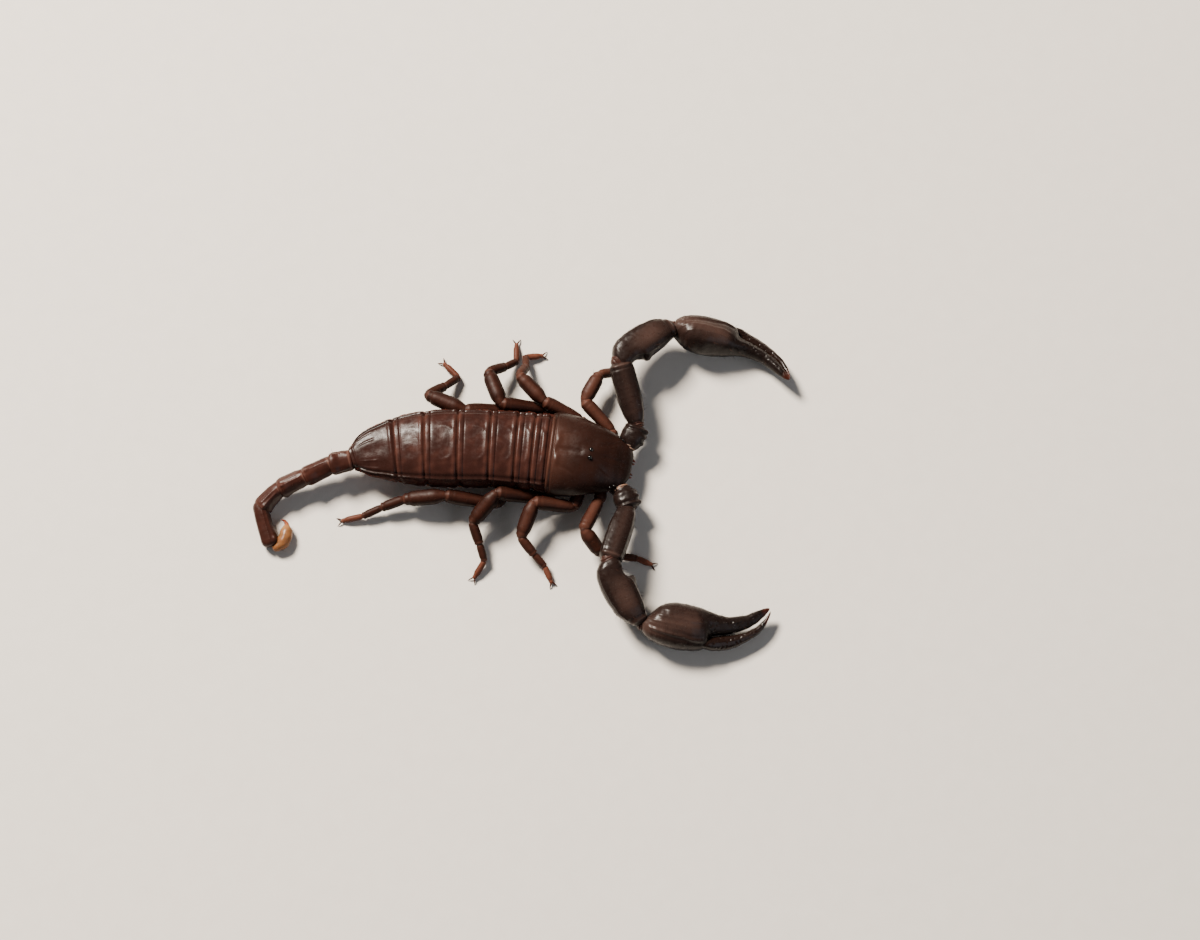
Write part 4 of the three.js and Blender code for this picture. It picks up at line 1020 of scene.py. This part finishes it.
# Solid horn, dense and dark, with a hard small glint along its curve.
claw_cuticle = cuticle("dark_claw_horn", "3a1a10", "200d08", "6e3a24",
                       roughness=0.3, grain=0.2, relief=0.0)
for (name, pair), (hip, headings, climbs) in LEG_POSES.items():
    girth, painted_light = LEG_GIRTHS[pair - 1], LEG_PAINTED_LIGHT[pair - 1]
    leg = f"leg_{name}_{pair}"
    x, reach, level = COXA_ENDS[pair - 1]
    joints = [beside_spine(x, SIDES[name] * reach, level), WAIST + np.array(hip)]
    *upper, last = LEG_LENGTHS[pair - 1]
    for length, heading, climb in zip(upper, headings, climbs):
        joints.append(ahead(joints[-1], length, heading, climb))
    drop = math.degrees(math.asin((FOOT_LEVEL - joints[-1][2]) / last))
    joints.append(ahead(joints[-1], last, headings[4], drop))

    # Painted light: lighter along the middle, as light shining through, darker at the edges, as
    # painted shade, and lighter at both ends, partly for pale joint skin and partly as a painted
    # highlight.
    def leg_tone(at):
        edge = smooth(0.14, 0.32, np.abs(at.across))
        joint = ridge(at.place, at.length * 0.97, 0.06) + 0.5 * ridge(at.place, 0.05, 0.05)
        return painted_light + 0.3 * ridge(at.across, 0, 0.13) - 0.5 * edge + 0.5 * joint

    for start, end, (part, (node, *rows)) in zip(joints, joints[1:], LEG_SEGMENTS.items()):
        finish = tarsus_cuticle if part == "telotarsus" else leg_cuticle
        fixed(limb(f"{leg}_{part}_shell", start, end, rows, finish, carve=leg_relief,
                   tone=leg_tone, sides=40, step=0.035, girth=girth),
              "feet" if node == "foot" else "legs", f"{leg}_{node}")
    for joint, (part, radius) in zip(joints[1:], LEG_SKINS.items()):
        fixed(ball(f"{leg}_{part}_skin", joint, [radius * girth] * 3, brown_skin, 20), "belly")

    # Two curved claws at the tip, standing apart and reaching down to the ground, with two
    # rows of short spines under the last piece.
    heel, toe = joints[-2:]
    axes = way, inward, upward = limb_axes(heel, toe)
    if (name, pair) == TUCKED_FOOT:
        axes = limb_axes(toe, ahead(toe, 1, -110, 0))
    for letter, sign in (("a", 1), ("b", -1)):
        rows = []
        for along, aside, radius in CLAW_ROWS:
            spot = toe + axes[0] * (along * CLAW_LENGTH - 0.04)
            spot = spot + sign * axes[1] * (0.03 + CLAW_SPREAD * aside ** 1.5)
            drop = (toe[2] - 0.02) * along ** 2
            rows.append([*(spot - WAIST)[:2], toe[2] + 0.04 * (1 - along) - drop, radius])
        fixed(horn(f"{leg}_claw_{letter}", rows, claw_cuticle, steps=14, sides=12), "feet",
              f"{leg}_foot")
    length = np.linalg.norm(toe - heel)
    roots = [heel + way * place + sign * inward * 0.06 - upward * 0.1
             for place in np.arange(0.15 * length, 0.92 * length, SPINE_PITCH)
             for sign in (1, -1)]
    fixed(planted(f"{leg}_foot_spines", roots, way * 0.9 - upward, SPINE_LENGTH, claw_cuticle,
                  root=0.18, tip=0.03, bend=0.2, sides=6, steps=3), "feet", f"{leg}_foot")

# ---------------- tail
# The five keeled rings of the metasoma, each a hard tube with its keels ending in a raised
# bead over the joint, threaded on brown joint skin and turned over onto their side.
TAIL_ROOT = [-9.88, -0.31, 1.35]
TAIL = [[1.02, -168, -6, 12, 1.12], [1.44, -156, -8, 30, 0.99], [1.39, -156, -8, 50, 0.95],
        [1.33, -136, -9, 68, 0.9], [1.98, -74, -8, 80, 0.87]]
TAIL_KEELS = (42, 138, 12, 168, 222, 318)  # angles round a ring
# Rows are [part of the length, across, across, above, below] in halves of the girth.
TAIL_RING = [[-0.06, 0.84, 0.84, 0.78, 0.84], [0.03, 0.92, 0.92, 0.82, 0.9],
             [0.14, 0.95, 0.95, 0.84, 0.93], [0.5, 0.96, 0.96, 0.86, 0.98],
             [0.84, 1.0, 1.0, 1.04, 0.98], [0.96, 0.96, 0.96, 1.02, 0.94],
             [1.02, 0.84, 0.84, 0.88, 0.82]]


def ring_relief(at):
    """The keels of a tail ring, a tooth over its far joint, and a hollow between."""
    crest = ridge(np.abs(np.cos(at.angle)), 0.74, 0.14) * smooth(0.2, 0.6, at.rise)
    tooth = 0.05 * crest * ridge(at.place, at.length * 0.86, 0.13)
    hollow = 0.03 * ridge(np.cos(at.angle), 0, 0.4) * smooth(0.0, 0.5, at.rise)
    lines = keels(TAIL_KEELS, 0.12, 0.03, 0.12, -0.05)
    return lines(at) + tooth - hollow * ridge(at.place, at.length / 2, 0.4)


# Hard ringed cuticle, dark brown and satin, with light caught along its keels.
tail_cuticle = cuticle("keeled_tail_cuticle", "381d17", "1d0f0b", "583c33",
                       roughness=0.34, grain=0.07, relief=0.002)
start = WAIST + np.array(TAIL_ROOT)
for number, (length, heading, climb, lean, girth) in enumerate(TAIL, 1):
    end = ahead(start, length, heading, climb)
    # The last ring ends round, and is painted the darkest, as painted shade against the light it
    # faces.
    body, cap, shade = (0.95, 0.11, 0.5) if number == 5 else (1.0, 0.03, 0.2)

    # Painted light: the top and outer side are lighter, and painted highlights lie on top of the
    # near joint and round the far rim.
    def ring_tone(at):
        joint = 0.8 * ridge(at.place, 0.05, 0.05) * smooth(0.0, 0.5, at.rise)
        return (0.25 * smooth(0.2, 0.9, at.rise * 0.3 - np.cos(at.angle))
                + 0.25 * ridge(at.place, at.length * 0.96, 0.05) + joint - shade)

    fixed(limb(f"metasoma_{number}_ring", start, end,
               [[share * body, *reach] for share, *reach in TAIL_RING], tail_cuticle,
               carve=ring_relief, tone=ring_tone, ends=(0.03, cap), roll=-lean, square=2.25,
               sides=96, step=0.025, girth=girth / 2), "tail", f"metasoma_{number}")
    radius = girth * (0.34 if number < 4 else 0.45)
    fixed(ball(f"metasoma_{number}_root_skin", start, [radius] * 3, brown_skin, 32), "belly")
    start = end

# ---------------- telson
# The last piece, folded back beside the tail's end: a smooth tan poison bulb, and the thin
# brown sting that grows from it in one curve.
VESICLE = [[-13.66, -4.6, 0.42, 0.17], [-13.44, -4.46, 0.42, 0.26], [-13.2, -4.16, 0.42, 0.33],
           [-13.1, -3.78, 0.42, 0.31], [-13.08, -3.46, 0.43, 0.17]]
STING = [[-13.08, -3.5, 0.43, 0.17], [-13.09, -3.38, 0.435, 0.12], [-13.14, -3.29, 0.45, 0.085],
         [-13.22, -3.2, 0.46, 0.06], [-13.34, -3.16, 0.48, 0.025]]

# The bulb's wall is thin and clear, so it glows tan. The sting is dense and red brown.
bulb_cuticle = cuticle("tan_bulb_cuticle", "835b38", "5e3822", "a57f57",
                       roughness=0.28, grain=0.12, relief=0.002, glow=0.35, blotch=0.5)
sting_cuticle = cuticle("brown_sting_cuticle", "5a2416", "2c0f09", "9c5a3a",
                        roughness=0.22, grain=0.2, relief=0.002, glow=0.1)
fixed(horn("telson_bulb", VESICLE, bulb_cuticle, carve=lambda rings: 0.01 * uneven(rings, 0.4),
           tone=np.linspace(-0.5, 0.2, 40)[:, None], ends=(0.1, 0.05)),
      "telson", "telson_vesicle")
fixed(horn("telson_sting_point", STING, sting_cuticle, tone=np.linspace(0.9, -0.3, 40)[:, None]),
      "fingers", "telson_sting")

# ---------------- coxae and sternum
# The underside of the head end: the roots of the four leg pairs and of the pincer arms,
# packed side by side round a small five-sided sternum, all of firm brown cuticle.
COXA_ROOTS = [2.75, 2.3, 1.75, 1.15]
# Rows are [part of the length, to one side, to the other, above, below] in mm.
COXA = [[-0.02, 0.16, 0.16, 0.16, 0.14], [0.12, 0.27, 0.27, 0.2, 0.18],
        [0.5, 0.35, 0.35, 0.28, 0.25], [0.9, 0.32, 0.32, 0.3, 0.28], [1, 0.24, 0.24, 0.22, 0.2]]
PALP_COXA = [[0, 0.3, 0.3, 0.28, 0.33], [0.4, 0.42, 0.42, 0.32, 0.38],
             [0.8, 0.42, 0.42, 0.32, 0.38], [0.98, 0.33, 0.33, 0.27, 0.3]]
# The lobes of the first two coxae run forward side by side under the mouth.
LOBE = [[0, 0.08, 0.08, 0.12, 0.08], [0.3, 0.14, 0.14, 0.15, 0.12],
        [0.8, 0.15, 0.15, 0.15, 0.13], [1, 0.09, 0.09, 0.1, 0.09]]
LOBE_ENDS = {"first": [[2.15, 0.4, 0.55], [3.2, 0.42, 0.75]],
             "second": [[1.3, 0.14, 0.5], [3.05, 0.16, 0.68]]}
STERNUM_HALF = 0.42
PAD_HALF = 0.12


def low_shield(name, front, rear, half, level, finish, pointed=0.0, groove=0.0):
    """A small pad under the trunk, narrower to the front by the share pointed, and grooved
    along its middle."""
    s = np.linspace(0, 1, 40)[:, None]
    angle = around(56)
    ends = (1 - np.abs(2 * s - 1) ** 6) ** 0.5
    wide = half * (1 - pointed * (1 - s) ** 2) * np.maximum(ends, 0.05)
    across, up = rounded(angle, wide, wide, PAD_HALF, PAD_HALF * np.maximum(ends, 0.1), 2.6)
    up = up + groove * ridge(across, 0, 0.05) * (up < 0)
    # The pad is painted darker towards its edges, as painted shade.
    return sleeve(name, beside_spine(front + (rear - front) * s, across, level + up), finish,
                  -0.4 * smooth(0.5, 1.0, np.abs(across) / wide), ends=(0.02, 0.02))


# Firm underside cuticle, red brown and smooth. Each coxa and lobe is painted darker along
# its sides, as painted shade where one meets the next.
coxa_cuticle = cuticle("red_brown_coxa_cuticle", "4f2a1d", "2e170f", "784a37",
                       roughness=0.36, grain=0.07, relief=0.005, glow=0.08)
roots = []
for name, sign in SIDES.items():
    for pair, (x, reach, level) in enumerate(COXA_ENDS, 1):
        roots.append((f"coxa_{name}_{pair}", beside_spine(COXA_ROOTS[pair - 1], sign * 0.3, 0.64),
                      beside_spine(x, sign * reach, level), COXA, coxa_cuticle,
                      {"carve": keels((235, 305), 0.1, 0.02, 0.2, -0.1), "sides": 40,
                       "tone": lambda at: -0.5 * smooth(0.2, 0.35, np.abs(at.across))}))
    roots.append((f"pedipalp_{name}_coxa", beside_spine(2.7, sign * 0.55, 0.95),
                  WAIST + np.array(PALPS[name]["joints"][0]), PALP_COXA, palp_cuticle,
                  {"carve": keels((250, 300), 0.1, 0.02, 0.2, -0.1), "sides": 48}))
for name, sign in SIDES.items():
    for order, ends in LOBE_ENDS.items():
        rear, front = [beside_spine(x, sign * side, level) for x, side, level in ends]
        roots.append((f"coxa_{name}_{order}_lobe", rear, front, LOBE, coxa_cuticle,
                      {"tone": lambda at: 0.3 - 0.8 * smooth(0.07, 0.14, np.abs(at.across)),
                       "sides": 32}))
for label, start, end, rows, finish, look in roots:
    fixed(limb(label, start, end, rows, finish, girth=1, **look), "belly", "coxosternum")

# The sternum, a five-sided shield between the last coxae, with a groove down its middle.
fixed(low_shield("sternum_shield", 1.15, 0.35, STERNUM_HALF, 0.42, coxa_cuticle, pointed=0.45,
                 groove=0.05), "belly", "coxosternum")

# ---------------- pectines
# Behind the sternum lie the two small doors of the genital opening, and the pair of combs
# with which the animal feels the ground: a jointed bar each, with a row of blunt teeth.
COMB_ROOT = [-0.5, 0.2]
COMB_END = [-1.35, 1.45]
COMB_LEVEL = 0.5
COMB_ROWS = [[0.4, 0.17, 0.14], [0.85, 0.13, 0.11], [1, 0.09, 0.08]]
COMB_JOINT_PITCH = 0.45
COMB_TEETH = 7
COMB_TOOTH_LENGTH = 0.42
DOOR_RADII = (0.2, 0.23, 0.1)
# Comb cuticle is thin and barely pigmented, so it looks cream and lets light through.
comb_cuticle = cuticle("pale_comb_cuticle", "9a6a4a", "6b4430", "c09a78",
                       roughness=0.38, grain=0.06, relief=0.003, glow=0.3)
backward = beside_spine(-2, 0, 0) - beside_spine(-1, 0, 0)
for name, sign in SIDES.items():
    fixed(ball(f"genital_operculum_{name}", beside_spine(0.06, sign * 0.21, 0.46), DOOR_RADII,
               sternite_cuticle, 28), "belly", "coxosternum")
    start, end = [beside_spine(x, sign * side, COMB_LEVEL) for x, side in (COMB_ROOT, COMB_END)]
    length = np.linalg.norm(end - start)
    bar = limb(f"pectine_{name}_bar", start, end,
               [[-0.05, 0.13, 0.12], *[[length * share, *reach] for share, *reach in COMB_ROWS]],
               comb_cuticle, sides=40, step=0.03, carve=lambda at: (
                   -0.02 * ridge(np.sin(at.place * math.tau / COMB_JOINT_PITCH), 1, 0.3)))
    shares = (np.arange(COMB_TEETH) + 0.8) / (COMB_TEETH + 0.2)
    roots = start + shares[:, None] * (end - start) + backward * 0.13 + [0, 0, -0.03]
    teeth = planted(f"pectine_{name}_teeth", roots, backward + [0, sign * 0.15, -0.12],
                    COMB_TOOTH_LENGTH, comb_cuticle, root=0.19, tip=0.12, bend=0.0, sides=12,
                    steps=4)
    for piece in (bar, teeth):
        fixed(piece, "belly", f"pectine_{name}")
fixed(low_shield("pectine_base_piece", -0.2, -0.75, 0.26, 0.52, sternite_cuticle, groove=0.03),
      "belly", "pectine_left")

# ---------------- chelicerae
# The two short jaws that lie side by side under the front rim of the carapace, each with a
# pair of small dark fingers.
JAW_SIDE = 0.35
JAW_LEVEL = 1.0
# Rows are [millimetres along, to one side, to the other, above, below].
JAW = [[0, 0.18, 0.18, 0.18, 0.2], [0.4, 0.31, 0.31, 0.28, 0.3], [0.75, 0.28, 0.28, 0.25, 0.27],
       [0.9, 0.2, 0.2, 0.18, 0.2]]
for name, sign in SIDES.items():
    start, end = [beside_spine(x, sign * JAW_SIDE, JAW_LEVEL) for x in (3.1, 3.98)]
    fixed(limb(f"chelicera_{name}_jaw", start, end, JAW, leg_cuticle, sides=40, hand=sign),
          "belly", f"chelicera_{name}")
    for part, aside, curl in (("inner", -0.11, 0.05), ("outer", 0.12, -0.06)):
        rows = []
        for share, radius in ((0, 0.09), (0.4, 0.08), (0.8, 0.045), (1, 0.015)):
            side = JAW_SIDE + aside + curl * share ** 2
            spot = beside_spine(3.85 + 0.32 * share, sign * side, JAW_LEVEL - 0.1 * share ** 2)
            rows.append([*(spot - WAIST), radius])
        fixed(horn(f"chelicera_{name}_{part}_finger", rows, sting_cuticle, steps=14, sides=20),
              "fingers", f"chelicera_{name}")

# ---------------- bristles
# Stiff sensory bristles, finer than the eye makes out one by one: thin bent cones of horn
# rooted all over the limbs, leaning to the far end, closest on the feet and the telson.
BRISTLE_ROOT = 0.034  # radius at the root, as a share of the length
BRISTLE_TIP = 0.006
BRISTLE_SIDES = 4
BRISTLE_STEPS = 3
PATCH = 0.003  # how wide a bristle's patch is on the unwrap of the skins
# For each bed: the limbs it grows on, their slot, bristles to the square mm, shortest and
# longest, and how far they lean.
BEDS = {
    "legs": ("leg_", "legs", 5, 0.1, 0.24, 0.8),
    "pincer_arms": ("pedipalp_", "palps", 2.2, 0.12, 0.3, 0.6),
    "tail": ("metasoma_", "tail", 1.6, 0.12, 0.3, 0.5),
    "telson": ("telson_bulb", "telson", 14, 0.12, 0.28, 0.7),
}


def rooted(names, per_mm2, lean, random):
    """Roots and ways of bristles over some surfaces, and each root's place on the unwrap,
    where every surface is split down its length and laid flat on a tile of its own."""
    tiles = math.ceil(math.sqrt(len(names)))
    roots, ways, places = [], [], []
    for tile, name in enumerate(names):
        rings = surfaces[name]
        rows, columns = rings.shape[:2]
        spine = rings.mean(1)
        girth = np.linalg.norm(np.roll(rings, -1, 1) - rings, axis=2).sum(1).mean()
        area = girth * np.linalg.norm(np.diff(spine, axis=0), axis=1).sum()
        count = int(per_mm2 * area)
        row, column = random.integers(2, rows - 2, count), random.integers(0, columns, count)
        onward = np.gradient(spine, axis=0)[row]
        onward /= np.linalg.norm(onward, axis=1, keepdims=True)
        out = outward(rings)[row, column]
        roots.append(rings[row, column] - 0.01 * out)
        ways.append(out + lean * onward + 0.15 * random.normal(size=(count, 3)))
        places.append(np.column_stack([tile % tiles + column / columns,
                                       tile // tiles + row / rows]) / tiles)
    return np.concatenate(roots), np.concatenate(ways), np.concatenate(places)


def unwrapped(piece, places):
    """Gives a piece of equal bristles its OFBake map: a small patch for each, at its root."""
    mesh = piece.data
    vertex = np.empty(len(mesh.loops), int)
    mesh.loops.foreach_get("vertex_index", vertex)
    bristle, corner = np.divmod(vertex, len(mesh.vertices) // len(places))
    step, side = np.divmod(corner, BRISTLE_SIDES)
    aside = np.column_stack([side / BRISTLE_SIDES, step / (BRISTLE_STEPS + 1)]) * PATCH
    flat = (places[bristle] * (1 - PATCH) + aside).astype(np.float32)
    mesh.uv_layers.new(name="OFBake").data.foreach_set("uv", flat.ravel())


# Bristles are clear brown horn. They are drawn about twice as thick as real ones, to show.
bristle_horn = cuticle("brown_bristle_horn", "3c241a", "20130e", "644434",
                       roughness=0.35, grain=0.1, relief=0.0)
for bed, (part, slot, per_mm2, shortest, longest, lean) in BEDS.items():
    random = np.random.default_rng(11)
    names = [name for name in surfaces if name.startswith(part)
             and not name.endswith("_skin") and "coxa" not in name]
    roots, ways, places = rooted(names, per_mm2, lean, random)
    lengths = random.uniform(shortest, longest, len(roots))
    climb = ways[:, 2] / np.linalg.norm(ways, axis=1)
    clear = roots[:, 2] + (climb - 0.3) * lengths > 0.02
    bristles = planted(f"{bed}_bristles", roots[clear], ways[clear], lengths[clear],
                       bristle_horn, BRISTLE_ROOT, BRISTLE_TIP, bend=0.25,
                       sides=BRISTLE_SIDES, steps=BRISTLE_STEPS)
    unwrapped(bristles, places[clear])
    fixed(bristles, slot)

# ---------------- studio
# A plain pale floor under the animal, a large soft light above it on its left, a weak
# one from the other side, and even light from all round.
FLOOR_HALF = 0.6  # metres
# Uncoated card: matt, with a faint tooth of fibres, drawn coarser than real to show at all.
floor_paint = bpy.data.materials.new("matt_pale_card")
floor_paint.use_nodes = True
tree = floor_paint.node_tree
card = tree.nodes["Principled BSDF"]
card.inputs["Roughness"].default_value = 0.9
fibres = add(tree, "ShaderNodeTexNoise",
             {"Vector": add(tree, "ShaderNodeTexCoord").outputs["Object"],
              "Scale": 1 / (0.9 * MM), "Detail": 5.0})
weave = add(tree, "ShaderNodeMix", {0: fibres, 6: linear("d5cfc7"), 7: linear("ddd7cf")},
            data_type="RGBA").outputs[2]
tree.links.new(weave, card.inputs["Base Color"])
floor_mesh = bpy.data.meshes.new("floor")
floor_mesh.from_pydata([(x * FLOOR_HALF, y * FLOOR_HALF, 0)
                        for x, y in ((-1, -1), (1, -1), (1, 1), (-1, 1))], [], [(0, 1, 2, 3)])
floor_mesh.materials.append(floor_paint)
shown("floor", floor_mesh)


def soft_light(name, place, size, power, colour):
    """A square soft light at a place in mm, turned to the animal."""
    lamp = bpy.data.lights.new(name, "AREA")
    lamp.size = size * MM
    lamp.energy = power
    lamp.color = linear(colour)[:3]
    light = shown(name, lamp)
    light.location = np.array(place) * MM
    light.rotation_euler = (-light.location).to_track_quat("-Z", "Y").to_euler()


soft_light("window", (-118, 134, 191), 70, 2.75, "fff4e6")
soft_light("fill", (180, -120, 160), 160, 0.12, "eef3ff")
world = bpy.data.worlds.new("even_light")
world.use_nodes = True
sky = world.node_tree.nodes["Background"]
sky.inputs["Color"].default_value = linear("dfe3e8")
sky.inputs["Strength"].default_value = 0.16
bpy.context.scene.world = world
